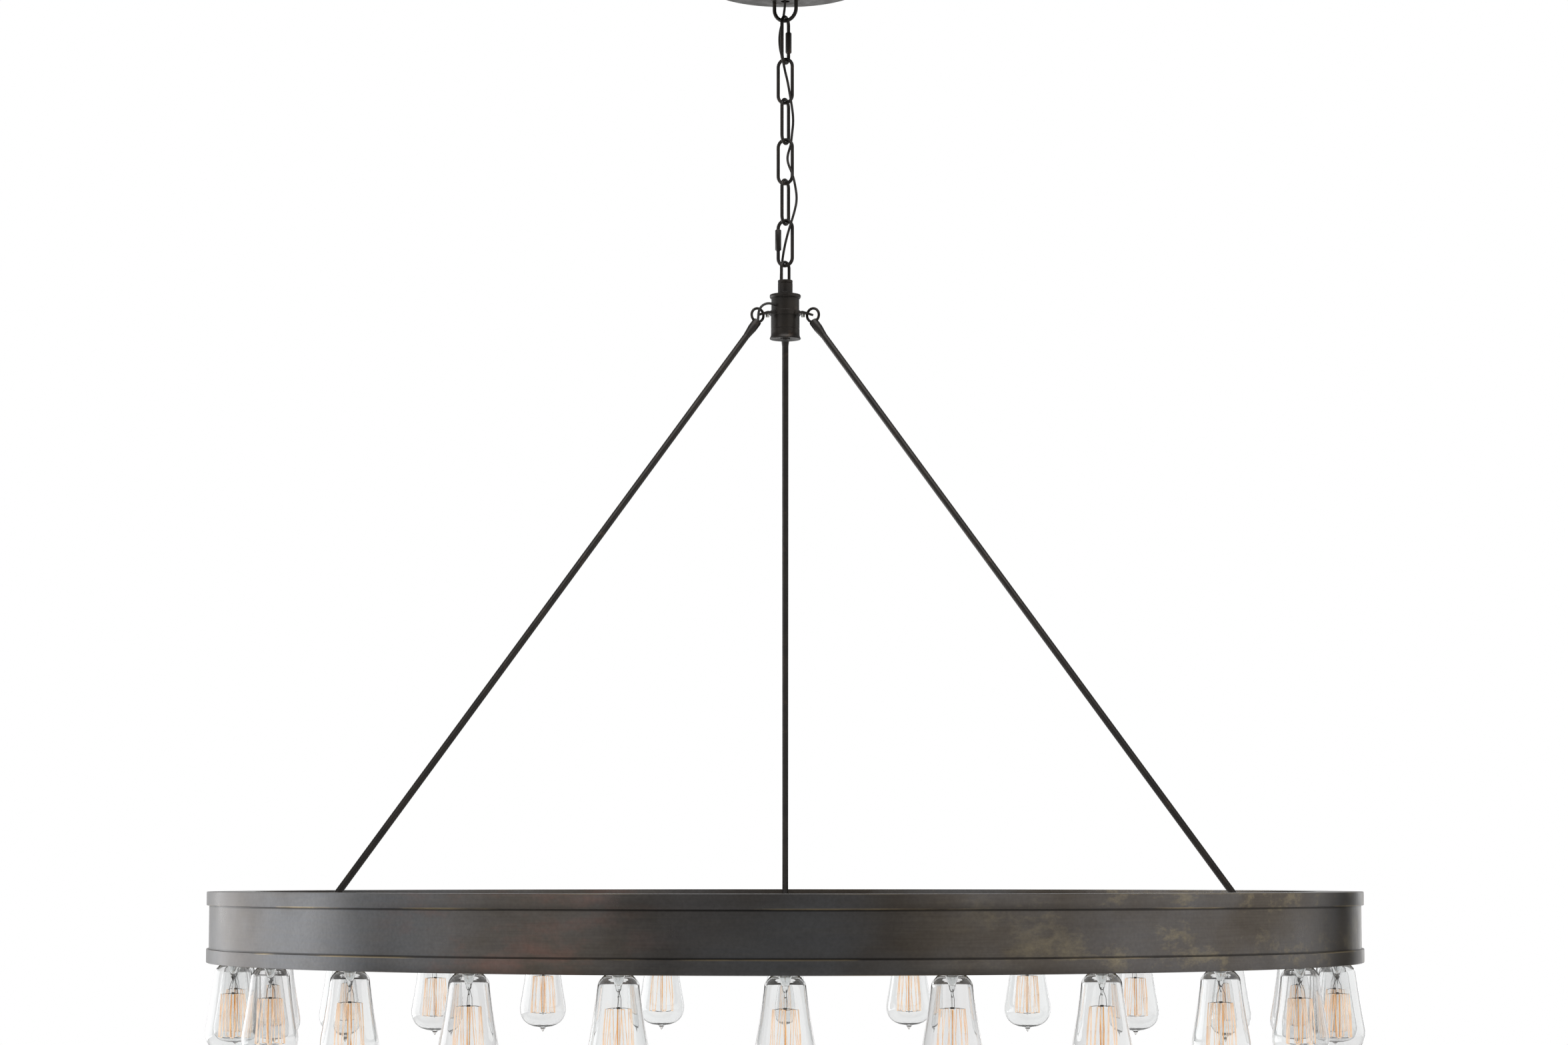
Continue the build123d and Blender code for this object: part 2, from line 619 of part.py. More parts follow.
# Lamp cord: it is woven through the second, fourth and sixth links
def woven(across, depth, height):
    """A point beside the chain: across lies in the loop's plane, and depth away from the viewer."""
    a = math.radians(CHAIN_TURN)
    return Vector(across * math.cos(a) - depth * math.sin(a), across * math.sin(a) + depth * math.cos(a), height)


cord_route = [
    Vector(0, 0, -10),
    Vector(0, 0.2, -27),
    woven(-1.6, 2.6, -41),
    woven(-5.4, 5.6, -56),
    woven(-9.3, 3.0, -74),
    woven(-9.0, 2.8, -92),
    woven(-5.6, 5.4, -107.5),
    woven(-2.2, 4.0, -121.5),
    woven(3.4, -0.8, -135),
    woven(8.2, -6.0, -149),
    woven(10.6, -4.8, -164.5),
    woven(10.8, 1.0, -184),
    woven(6.2, 5.6, -202),
    woven(5.3, 5.0, -213.5),
    woven(2.7, 3.4, -222.5),
    woven(3.1, -0.8, -230.5),
    woven(6.6, -5.6, -239.5),
    woven(12.2, -6.2, -251),
    woven(15.4, -4.6, -265),
    woven(16.8, -1.8, -283),
    woven(14.4, -4.6, -299),
    woven(9.8, -6.0, -314),
    woven(3.6, -3.0, -328),
    woven(-2.2, 1.8, -341),
    woven(-6.6, 5.8, -354.5),
    woven(-6.9, 4.4, -364.5),
    cord_entry + Vector(0, 0, collar_top + 7.5),
    cord_entry + Vector(0, 0, splice_top + FIT),
]
lamp_cord = limp_cord(cord_route, CORD_R, "lamp_cord")
lamp_cord.part.label = "lamp_cord"
export_step(lamp_cord.part, "parts/lamp_cord.step")

# Rods: each hangs from its tab by an eye and holds the ring's lug by another
upper_hole = Vector(TAB_HOLE_RADIUS, tab_hole_level)
lower_hole = Vector(lug_hole_radius, -LUG_HOLE_DROP)
rod_span = (lower_hole - upper_hole).length
rod_way = (lower_hole - upper_hole) / rod_span
ferrule_start = FERRULE_START
ferrule_end = ferrule_start + FERRULE_LENGTH
eye_turn = math.radians(EYE_TURN)
print("rod hole to hole", round(rod_span, 2), "tab hole", upper_hole, "lug hole", lower_hole)


def rod_frame(azimuth, from_top):
    """A rod end's hole and the way along the rod from it, in space."""
    hole, way = (upper_hole, rod_way) if from_top else (lower_hole, rod_way * -1)
    return outwards(azimuth, hole.X, hole.Y), outwards(azimuth, way.X, way.Y)


def rod_eye(azimuth, from_top):
    """A ring of wire with a tapered ferrule, bored for the rod's stub."""
    hole, way = rod_frame(azimuth, from_top)
    side = Vector(math.sin(math.radians(azimuth)), -math.cos(math.radians(azimuth)), 0)
    upward = side.cross(way)
    centre = hole + way * (EYE_BEND_R * math.cos(eye_turn)) + upward * (EYE_BEND_R * math.sin(eye_turn))
    with BuildPart() as eye:
        with BuildSketch(Plane(centre, x_dir=way, z_dir=upward)):
            with Locations((EYE_BEND_R, 0)):
                RegularPolygon(EYE_WIRE_R, WIRE_SIDES, major_radius=False, rotation=180 / WIRE_SIDES)
        revolve(axis=Axis(centre, side))
        with BuildSketch(Plane(hole, x_dir=side, z_dir=upward)):
            with BuildLine():
                Polyline(
                    (0, ferrule_start),
                    (FERRULE_R - 0.8, ferrule_start),
                    (FERRULE_R, ferrule_start + 0.8),
                    (FERRULE_R, ferrule_end - FERRULE_TAPER),
                    (ROD_R, ferrule_end),
                    (0, ferrule_end),
                    close=True,
                )
            make_face()
        revolve(axis=Axis(hole, way))
        with BuildSketch(Plane(hole + way * ferrule_end, z_dir=way)):
            Circle(ROD_STUB_R + FIT)
        extrude(amount=-ROD_STUB_LENGTH - 0.5, mode=Mode.SUBTRACT)
    return eye



def beside_rod(radius, aside, height):
    """A point given outwards along the left rod's azimuth, towards the viewer, and up."""
    out = outwards(ROD_AZIMUTHS["left"], 1, 0)
    return out * radius + Vector(-out.Y, out.X, 0) * aside + Vector(0, 0, height)


def beside_eye(along, above, aside):
    """A point by the left rod's upper ferrule: along the rod from its hole, above it and towards the viewer."""
    hole, way = rod_frame(ROD_AZIMUTHS["left"], True)
    out = outwards(ROD_AZIMUTHS["left"], 1, 0)
    toward = Vector(-out.Y, out.X, 0)
    return hole + way * along + toward.cross(way) * -above + toward * aside


lead_entry = beside_eye(FERRULE_START - 3.45, FERRULE_R - 1.5, 4.0)
lead_end = beside_eye(FERRULE_START + 2.6, 0, 3.6)
for name, azimuth in ROD_AZIMUTHS.items():
    hole, way = rod_frame(azimuth, True)
    with BuildPart() as rod:
        with BuildSketch(Plane(hole + way * ferrule_end, z_dir=way)):
            Circle(ROD_R)
        extrude(amount=rod_span - 2 * ferrule_end)
        with BuildSketch(Plane(hole + way * (ferrule_end - ROD_STUB_LENGTH), z_dir=way)):
            Circle(ROD_STUB_R)
        extrude(amount=rod_span - 2 * ferrule_end + 2 * ROD_STUB_LENGTH)
    rod.part.label = f"rod_{name}"
    export_step(rod.part, f"parts/rod_{name}.step")
    for place, from_top in (("upper", True), ("lower", False)):
        eye = rod_eye(azimuth, from_top)
        if name == "left" and from_top:
            # The lead goes into this ferrule's end, beside the ring
            with BuildPart() as eye_with_entry:
                add(eye.part)
                with BuildSketch(Plane(lead_end, z_dir=lead_entry - lead_end)):
                    Circle(LEAD_R + PLAY)
                extrude(amount=(lead_entry - lead_end).length, mode=Mode.SUBTRACT)
            eye = eye_with_entry
        eye.part.label = f"rod_{name}_{place}_eye"
        export_step(eye.part, f"parts/rod_{name}_{place}_eye.step")

# Lead from the splice to the left rod, out through the upper body's wall and round the tab's end
lead_route = [
    beside_rod(5.0, -1.2, lead_level),
    beside_rod(13.0, 3.6, lead_level),
    beside_rod(21.0, 7.2, lead_level + 1.2),
    beside_rod(29.0, 8.0, lead_level + 1.6),
    beside_rod(36.6, 7.6, lead_level - 1.6),
    beside_rod(40.6, 6.2, lead_level - 8.2),
    lead_entry,
    lead_end + (lead_entry - lead_end).normalized() * FIT,
]
rod_lead = limp_cord(lead_route, LEAD_R, "rod_lead")
rod_lead.part.label = "rod_lead"
export_step(rod_lead.part, "parts/rod_lead.step")

# Ring walls
with BuildPart() as ring_outer_wall:
    with BuildSketch(Plane.XY.offset(-plate_top)):
        Circle(wall_r)
        Circle(wall_r - RING_WALL, mode=Mode.SUBTRACT)
    extrude(amount=plate_top - cover_bottom)
ring_outer_wall.part.label = "ring_outer_wall"
export_step(ring_outer_wall.part, "parts/ring_outer_wall.step")

lug_slope = tab_slope
lug_foot_r = inner_r - 0.1
lug_foot = -LUG_HOLE_DROP - (lug_foot_r - LUG_THICKNESS / 2 - lug_hole_radius) * math.tan(lug_slope)
rivet_levels = (lug_foot - 9.0, lug_foot - 19.0)
with BuildPart() as ring_inner_wall:
    with BuildSketch(Plane.XY.offset(-plate_top)):
        Circle(inner_r + RING_WALL)
        Circle(inner_r, mode=Mode.SUBTRACT)
    extrude(amount=plate_top - cover_bottom)
    for azimuth in ROD_AZIMUTHS.values():
        for level in rivet_levels:
            with BuildSketch(Plane(outwards(azimuth, inner_r - 5, level), z_dir=outwards(azimuth, 1, 0))):
                Circle(RIVET_R + FIT)
            extrude(amount=10 + RING_WALL, mode=Mode.SUBTRACT)
    lead_port = outwards(ROD_AZIMUTHS["left"] - 1.6, inner_r - 5, -LUG_HOLE_DROP + 14)
    with BuildSketch(Plane(lead_port, z_dir=outwards(ROD_AZIMUTHS["left"] - 1.6, 1, 0))):
        Circle(4.0)
    extrude(amount=10 + RING_WALL, mode=Mode.SUBTRACT)
ring_inner_wall.part.label = "ring_inner_wall"
export_step(ring_inner_wall.part, "parts/ring_inner_wall.step")

# Bands: proud strips round the top and the foot of the outer wall, with eased edges
for name, low in (("ring_upper_band", -RING_TOP_DROP - BAND_HEIGHT), ("ring_lower_band", -ring_bottom)):
    with BuildPart() as band:
        with BuildSketch(Plane.XY.offset(low)):
            Circle(RING_R)
            Circle(wall_r, mode=Mode.SUBTRACT)
        extrude(amount=BAND_HEIGHT)
        outer = band.edges().filter_by(GeomType.CIRCLE).sort_by(SortBy.RADIUS)[-2:]
        chamfer(outer, BAND_EDGE_R)
    band.part.label = name
    export_step(band.part, f"parts/{name}.step")

# Top cover, which closes the ring from above
with BuildPart() as ring_top_cover:
    with BuildSketch(Plane.XY.offset(-cover_bottom)):
        Circle(wall_r)
        Circle(inner_r, mode=Mode.SUBTRACT)
    extrude(amount=RING_WALL)
ring_top_cover.part.label = "ring_top_cover"
export_step(ring_top_cover.part, "parts/ring_top_cover.step")

# Socket plate, with a hole for each lamp and a countersunk one for each post's screw
post_circle_r = bulb_circle_r + 6.0
post_start = -90 + 180 / BULB_COUNT
with BuildPart() as ring_socket_plate:
    with BuildSketch(Plane.XY.offset(-ring_bottom)):
        Circle(wall_r)
        Circle(inner_r, mode=Mode.SUBTRACT)
        with PolarLocations(bulb_circle_r, BULB_COUNT, start_angle=-90):
            Circle(NECK_R + 1.6, mode=Mode.SUBTRACT)
    extrude(amount=RING_WALL)
    with Locations((0, 0, -ring_bottom + RING_WALL / 2)):
        with PolarLocations(post_circle_r, POST_COUNT, start_angle=post_start):
            Cone(POST_SCREW_HEAD_R + FIT, POST_SCREW_R + FIT, RING_WALL, mode=Mode.SUBTRACT)
ring_socket_plate.part.label = "ring_socket_plate"
export_step(ring_socket_plate.part, "parts/ring_socket_plate.step")

# Hexagonal posts between the plates, and the screws that hold the socket plate to them
post_thread = 10.0
with BuildPart() as plate_posts:
    with BuildSketch(Plane.XY.offset(-plate_top)):
        with PolarLocations(post_circle_r, POST_COUNT, start_angle=post_start):
            RegularPolygon(POST_FLATS / 2, 6, major_radius=False)
            Circle(POST_SCREW_R + FIT, mode=Mode.SUBTRACT)
    extrude(amount=post_thread)
    with BuildSketch(Plane.XY.offset(-plate_top + post_thread)):
        with PolarLocations(post_circle_r, POST_COUNT, start_angle=post_start):
            RegularPolygon(POST_FLATS / 2, 6, major_radius=False)
    extrude(amount=plate_top - cover_bottom - post_thread)
plate_posts.part.label = "plate_posts"
export_step(plate_posts.part, "parts/plate_posts.step")
with BuildPart() as plate_screws:
    with Locations((0, 0, -ring_bottom + RING_WALL / 2)):
        with PolarLocations(post_circle_r, POST_COUNT, start_angle=post_start):
            Cone(POST_SCREW_HEAD_R, POST_SCREW_R, RING_WALL)
    with BuildSketch(Plane.XY.offset(-ring_bottom)):
        with PolarLocations(post_circle_r, POST_COUNT, start_angle=post_start):
            Circle(POST_SCREW_R)
    extrude(amount=RING_WALL + post_thread - 1.0)
plate_screws.part.label = "plate_screws"
export_step(plate_screws.part, "parts/plate_screws.step")

# Lugs: an upright leg on the inner wall and a tab that leans in to meet the rod's eye
half_lug = LUG_THICKNESS / 2
lug_mid_r = lug_foot_r - half_lug
lug_shift = half_lug * math.tan((math.pi / 2 - lug_slope) / 2)
tip = Vector(lug_hole_radius - TAB_TIP * math.cos(lug_slope), -LUG_HOLE_DROP + TAB_TIP * math.sin(lug_slope))
tip_out = Vector(half_lug * math.sin(lug_slope), half_lug * math.cos(lug_slope))
with BuildPart() as ring_lugs:
    for azimuth in ROD_AZIMUTHS.values():
        with BuildSketch(radial_plane(azimuth)):
            with BuildLine():
                Polyline(
                    (lug_foot_r, lug_foot + lug_shift),
                    (tip.X + tip_out.X, tip.Y + tip_out.Y),
                    (tip.X - tip_out.X, tip.Y - tip_out.Y),
                    (lug_foot_r - LUG_THICKNESS, lug_foot - lug_shift),
                    (lug_foot_r - LUG_THICKNESS, lug_foot - LUG_LEG_HEIGHT),
                    (lug_foot_r, lug_foot - LUG_LEG_HEIGHT),
                    close=True,
                )
            make_face()
        extrude(amount=LUG_WIDTH / 2, both=True)
    for azimuth in ROD_AZIMUTHS.values():
        normal = outwards(azimuth, math.sin(lug_slope), math.cos(lug_slope))
        hole = outwards(azimuth, lug_hole_radius, -LUG_HOLE_DROP)
        with BuildSketch(Plane(hole - normal * LUG_THICKNESS, z_dir=normal)):
            Circle(LUG_HOLE_R)
        extrude(amount=2 * LUG_THICKNESS, mode=Mode.SUBTRACT)
        for level in rivet_levels:
            with BuildSketch(Plane(outwards(azimuth, inner_r - 8, level), z_dir=outwards(azimuth, 1, 0))):
                Circle(RIVET_R + FIT)
            extrude(amount=10, mode=Mode.SUBTRACT)
ring_lugs.part.label = "ring_lugs"
export_step(ring_lugs.part, "parts/ring_lugs.step")

# Rivets through each lug's leg and the inner wall
rivet_grip = inner_r + RING_WALL - (lug_foot_r - LUG_THICKNESS)
with BuildPart() as lug_rivets:
    for azimuth in ROD_AZIMUTHS.values():
        for level in rivet_levels:
            head = outwards(azimuth, lug_foot_r - LUG_THICKNESS, level)
            with BuildSketch(Plane(head, z_dir=outwards(azimuth, -1, 0))):
                Circle(RIVET_HEAD_R)
            extrude(amount=RIVET_HEAD_HEIGHT)
            with BuildSketch(Plane(head, z_dir=outwards(azimuth, 1, 0))):
                Circle(RIVET_R)
            extrude(amount=rivet_grip)
lug_rivets.part.label = "lug_rivets"
export_step(lug_rivets.part, "parts/lug_rivets.step")

# Lamp sockets: cups that stand on the socket plate, open downwards
socket_top = -plate_top + SOCKET_HEIGHT
with BuildPart() as one_socket:
    with BuildSketch(Plane.XZ):
        with BuildLine():
            Polyline(
                (0, socket_top),
                (SOCKET_R, socket_top),
                (SOCKET_R, -plate_top),
                (NECK_R + 1.0, -plate_top),
                (NECK_R + 1.0, -plate_top + SOCKET_SKIRT_DEPTH),
                (CAP_R + PLAY, -plate_top + SOCKET_SKIRT_DEPTH),
                (CAP_R + PLAY, socket_top - SOCKET_FLOOR),
                (0, socket_top - SOCKET_FLOOR),
                close=True,
            )
        make_face()
    revolve(axis=Axis.Z)
with BuildPart() as lamp_sockets:
    with PolarLocations(bulb_circle_r, BULB_COUNT, start_angle=-90):
        add(one_socket.part)
lamp_sockets.part.label = "lamp_sockets"
export_step(lamp_sockets.part, "parts/lamp_sockets.step")

# Flat wiring that lies on the sockets, all the way round
with BuildPart() as ring_wiring:
    with BuildSketch(Plane.XY.offset(socket_top)):
        Circle(wiring_radius + WIRING_WIDTH / 2)
        Circle(wiring_radius - WIRING_WIDTH / 2, mode=Mode.SUBTRACT)
    extrude(amount=WIRING_HEIGHT)
ring_wiring.part.label = "ring_wiring"
export_step(ring_wiring.part, "parts/ring_wiring.step")

# Bulbs: screw cap, blown envelope, glass stem and a cage filament
cap_low = -ring_bottom + BULB_SEAT
cap_high = cap_low + CAP_HEIGHT
with BuildPart() as one_cap:
    with BuildSketch(Plane.XZ):
        with BuildLine():
            Polyline(
                (0, cap_low + 4.0),
                (CAP_R - 0.8, cap_low + 4.0),
                (CAP_R - 0.8, cap_low),
                (CAP_R, cap_low),
                (CAP_R, cap_high - CAP_SHOULDER_HEIGHT),
                (CAP_SHOULDER_R, cap_high),
                (0, cap_high),
                close=True,
            )
        make_face()
    revolve(axis=Axis.Z)
with BuildPart() as bulb_caps:
    with PolarLocations(bulb_circle_r, BULB_COUNT, start_angle=-90):
        add(one_cap.part)
bulb_caps.part.label = "bulb_caps"
export_step(bulb_caps.part, "parts/bulb_caps.step")

neck_top = cap_low + 4.0
neck_r = CAP_R - 0.8 - FIT
glass_outside = [
    (neck_r, neck_top),
    (neck_r, cap_low),
    (NECK_R, -ring_bottom - 0.5),
    (SHOULDER_R, -ring_bottom - SHOULDER_DROP),
    (SIDE_R, -ring_bottom - SIDE_DROP),
    (BELLY_R, -ring_bottom - BELLY_DROP),
    (DOME_R, -ring_bottom - DOME_SIDE_DROP),
    (DOME_R * 0.56, -ring_bottom - DOME_DROP + 4.0),
    (PIP_R, -ring_bottom - DOME_DROP),
    (0, -ring_bottom - PIP_DROP),
]
glass_inside = [
    (neck_r - GLASS_WALL, neck_top - GLASS_WALL),
    (neck_r - GLASS_WALL, cap_low - 0.6),
    (SHOULDER_R - GLASS_WALL, -ring_bottom - SHOULDER_DROP),
    (SIDE_R - GLASS_WALL, -ring_bottom - SIDE_DROP),
    (BELLY_R - GLASS_WALL, -ring_bottom - BELLY_DROP),
    (DOME_R - GLASS_WALL, -ring_bottom - DOME_SIDE_DROP + GLASS_WALL),
    (0, -ring_bottom - DOME_DROP + 2 * GLASS_WALL),
]
with BuildPart() as one_glass:
    with BuildSketch(Plane.XZ):
        with BuildLine():
            Polyline((0, neck_top), *glass_outside, (0, neck_top))
        make_face()
        with BuildLine():
            Polyline((0, neck_top - GLASS_WALL), *glass_inside, (0, neck_top - GLASS_WALL))
        make_face(mode=Mode.SUBTRACT)
    revolve(axis=Axis.Z)
with BuildPart() as bulb_glass:
    with PolarLocations(bulb_circle_r, BULB_COUNT, start_angle=-90):
        add(one_glass.part)
bulb_glass.part.label = "bulb_glass"
export_step(bulb_glass.part, "parts/bulb_glass.step")

stem_top = neck_top - GLASS_WALL
stem_end = -ring_bottom - STEM_DROP
hook_level = -ring_bottom - FILAMENT_DROP
with BuildPart() as one_stem:
    with BuildSketch(Plane.XY.offset(stem_end)):
        RegularPolygon(STEM_R * 0.6, WIRE_SIDES, major_radius=False)
    with BuildSketch(Plane.XY.offset(stem_top - 10.0)):
        RegularPolygon(STEM_R, WIRE_SIDES, major_radius=False)
    with BuildSketch(Plane.XY.offset(stem_top)):
        RegularPolygon(STEM_R + 2.5, WIRE_SIDES, major_radius=False)
    loft(ruled=True)
    with BuildSketch(Plane.XY.offset(hook_level)):
        RegularPolygon(ROD_OF_STEM_R, WIRE_SIDES, major_radius=False, rotation=180 / WIRE_SIDES)
    extrude(amount=stem_end - hook_level)
with BuildPart() as bulb_stems:
    with PolarLocations(bulb_circle_r, BULB_COUNT, start_angle=-90):
        add(one_stem.part)
bulb_stems.part.label = "bulb_stems"
export_step(bulb_stems.part, "parts/bulb_stems.step")

# Filament: a zigzag between a small upper star and a wider lower star round the glass rod
strand_step = 360 / FILAMENT_STRANDS
filament_high = stem_end - 4.0
filament_low = hook_level + 2.0
zigzag = []
for number in range(FILAMENT_STRANDS):
    zigzag.append(outwards(number * strand_step, FILAMENT_TOP_R, filament_high))
    zigzag.append(outwards((number + 0.5) * strand_step, FILAMENT_LOW_R, filament_low))
filament_start = (zigzag[0] + zigzag[1]) * 0.5
with BuildPart() as one_filament:
    with BuildLine():
        Polyline(filament_start, *zigzag[1:], zigzag[0], filament_start)
    with BuildSketch(Plane(filament_start, z_dir=zigzag[1] - zigzag[0])):
        Rectangle(2 * FILAMENT_R, 2 * FILAMENT_R)
    sweep(transition=Transition.RIGHT)
    for level, radius, turn in ((filament_high, FILAMENT_TOP_R, 0), (filament_low, FILAMENT_LOW_R, 0.5)):
        for number in range(0, FILAMENT_STRANDS, 2):
            azimuth = (number + turn) * strand_step
            inner = outwards(azimuth, ROD_OF_STEM_R + FIT, level)
            with BuildSketch(Plane(inner, z_dir=outwards(azimuth, 1, 0))):
                Rectangle(2 * FILAMENT_R, 2 * FILAMENT_R)
            extrude(amount=radius - ROD_OF_STEM_R - FIT)
print("one filament", len(one_filament.part.solids()), "solids")
with BuildPart() as bulb_filaments:
    with PolarLocations(bulb_circle_r, BULB_COUNT, start_angle=-90):
        add(one_filament.part)
bulb_filaments.part.label = "bulb_filaments"
export_step(bulb_filaments.part, "parts/bulb_filaments.step")
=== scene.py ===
import math

import bpy
from mathutils import Matrix, Vector


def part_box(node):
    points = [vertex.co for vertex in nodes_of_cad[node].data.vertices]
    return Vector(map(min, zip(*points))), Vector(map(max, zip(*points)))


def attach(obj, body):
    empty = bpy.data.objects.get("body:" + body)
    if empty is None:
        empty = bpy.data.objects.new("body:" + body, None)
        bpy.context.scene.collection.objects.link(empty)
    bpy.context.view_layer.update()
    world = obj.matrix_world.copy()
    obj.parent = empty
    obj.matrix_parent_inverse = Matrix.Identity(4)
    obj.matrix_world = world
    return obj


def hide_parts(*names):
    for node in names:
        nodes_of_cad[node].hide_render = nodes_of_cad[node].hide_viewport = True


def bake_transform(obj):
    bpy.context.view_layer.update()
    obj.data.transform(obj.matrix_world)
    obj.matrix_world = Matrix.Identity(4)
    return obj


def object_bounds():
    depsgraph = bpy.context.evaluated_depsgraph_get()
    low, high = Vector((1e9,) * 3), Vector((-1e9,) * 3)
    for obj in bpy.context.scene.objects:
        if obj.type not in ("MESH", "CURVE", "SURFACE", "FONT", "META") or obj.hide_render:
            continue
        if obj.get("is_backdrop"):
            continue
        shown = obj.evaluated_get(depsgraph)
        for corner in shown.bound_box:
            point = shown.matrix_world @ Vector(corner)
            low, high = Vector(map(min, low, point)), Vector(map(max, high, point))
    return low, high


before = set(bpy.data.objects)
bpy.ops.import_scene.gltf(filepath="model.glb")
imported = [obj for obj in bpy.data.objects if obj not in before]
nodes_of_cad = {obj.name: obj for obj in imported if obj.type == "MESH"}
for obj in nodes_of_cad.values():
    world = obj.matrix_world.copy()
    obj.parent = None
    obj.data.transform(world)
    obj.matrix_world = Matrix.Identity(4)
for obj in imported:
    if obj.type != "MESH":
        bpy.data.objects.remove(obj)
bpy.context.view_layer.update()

# Sizes in millimetres, as in the solids. The origin is on the ceiling, at the fixture's axis
MM = 0.001
CHAIN_TURN = math.radians(-25)
EDGE_TURN = math.radians(65)
HUB_LOOP_TURN = math.radians(48.5)
RING_R = 686.0
WALL_R = 683.0
RING_TOP = -1122.5
RING_BOTTOM = -1205.0
BAND_HEIGHT = 16.0
UPPER_BAND_LOW = RING_TOP - BAND_HEIGHT
LOWER_BAND_HIGH = RING_BOTTOM + BAND_HEIGHT
BULB_CIRCLE_R = 658.0
BULB_COUNT = 24
CANOPY_WALL = 1.2
CANOPY_EDGE_R = 4.0
HOLE = Vector((31.0, 0.0, -424.092))
LUG_HOLE = Vector((612.0, 0.0, -1165.7))
ROD_AZIMUTHS = {"left": 210.0, "right": 330.0, "rear": 90.0}
EYE_BEND_R = 8.2
EYE_TURN = math.radians(32)


# Materials

def srgb(code):
    """The linear colour of a hex sRGB code."""
    parts = []
    for i in (0, 2, 4):
        c = int(code[i:i + 2], 16) / 255
        parts.append(c / 12.92 if c <= 0.04045 else ((c + 0.055) / 1.055) ** 2.4)
    return (*parts, 1.0)


def add(tree, kind, *inputs, **settings):
    """A node with its settings. Each input is a socket and its number, colour, node or output."""
    made = tree.nodes.new(kind)
    for key, value in settings.items():
        setattr(made, key, value)
    for socket, value in inputs:
        if isinstance(value, bpy.types.Node):
            value = next(output for output in value.outputs if output.enabled)
        if isinstance(value, bpy.types.NodeSocket):
            tree.links.new(value, made.inputs[socket])
        else:
            made.inputs[socket].default_value = value
    return made


def finish(name, **values):
    """A new material, its tree and its Principled shader. values are the shader's inputs."""
    material = bpy.data.materials.new(name)
    material.use_nodes = True
    shader = material.node_tree.nodes["Principled BSDF"]
    for key, value in values.items():
        shader.inputs[key.replace("_", " ")].default_value = value
    return material, material.node_tree, shader


def patches(
    tree, scale, detail, low, high, most=1.0, least=0.0, stretch=(1, 1, 1), offset=(0, 0, 0), roughness=0.55
):
    """Cloudy patches on a piece, from least to most. scale is how many lie along a metre."""
    place = add(tree, "ShaderNodeTexCoord").outputs["Object"]
    placed = add(tree, "ShaderNodeMapping", ("Vector", place), ("Scale", stretch), ("Location", offset))
    look = (("Scale", scale), ("Detail", detail), ("Roughness", roughness))
    noise = add(tree, "ShaderNodeTexNoise", ("Vector", placed), *look)
    reach = (("From Min", low), ("From Max", high), ("To Min", least), ("To Max", most))
    return add(tree, "ShaderNodeMapRange", ("Value", noise), *reach)


def two_tone(tree, scale, detail, first, second, low=0.35, high=0.65):
    """Two close colours that cloud into each other."""
    clouds = patches(tree, scale, detail, low, high)
    return add(tree, "ShaderNodeMix", (0, clouds), (6, srgb(first)), (7, srgb(second)), data_type="RGBA")


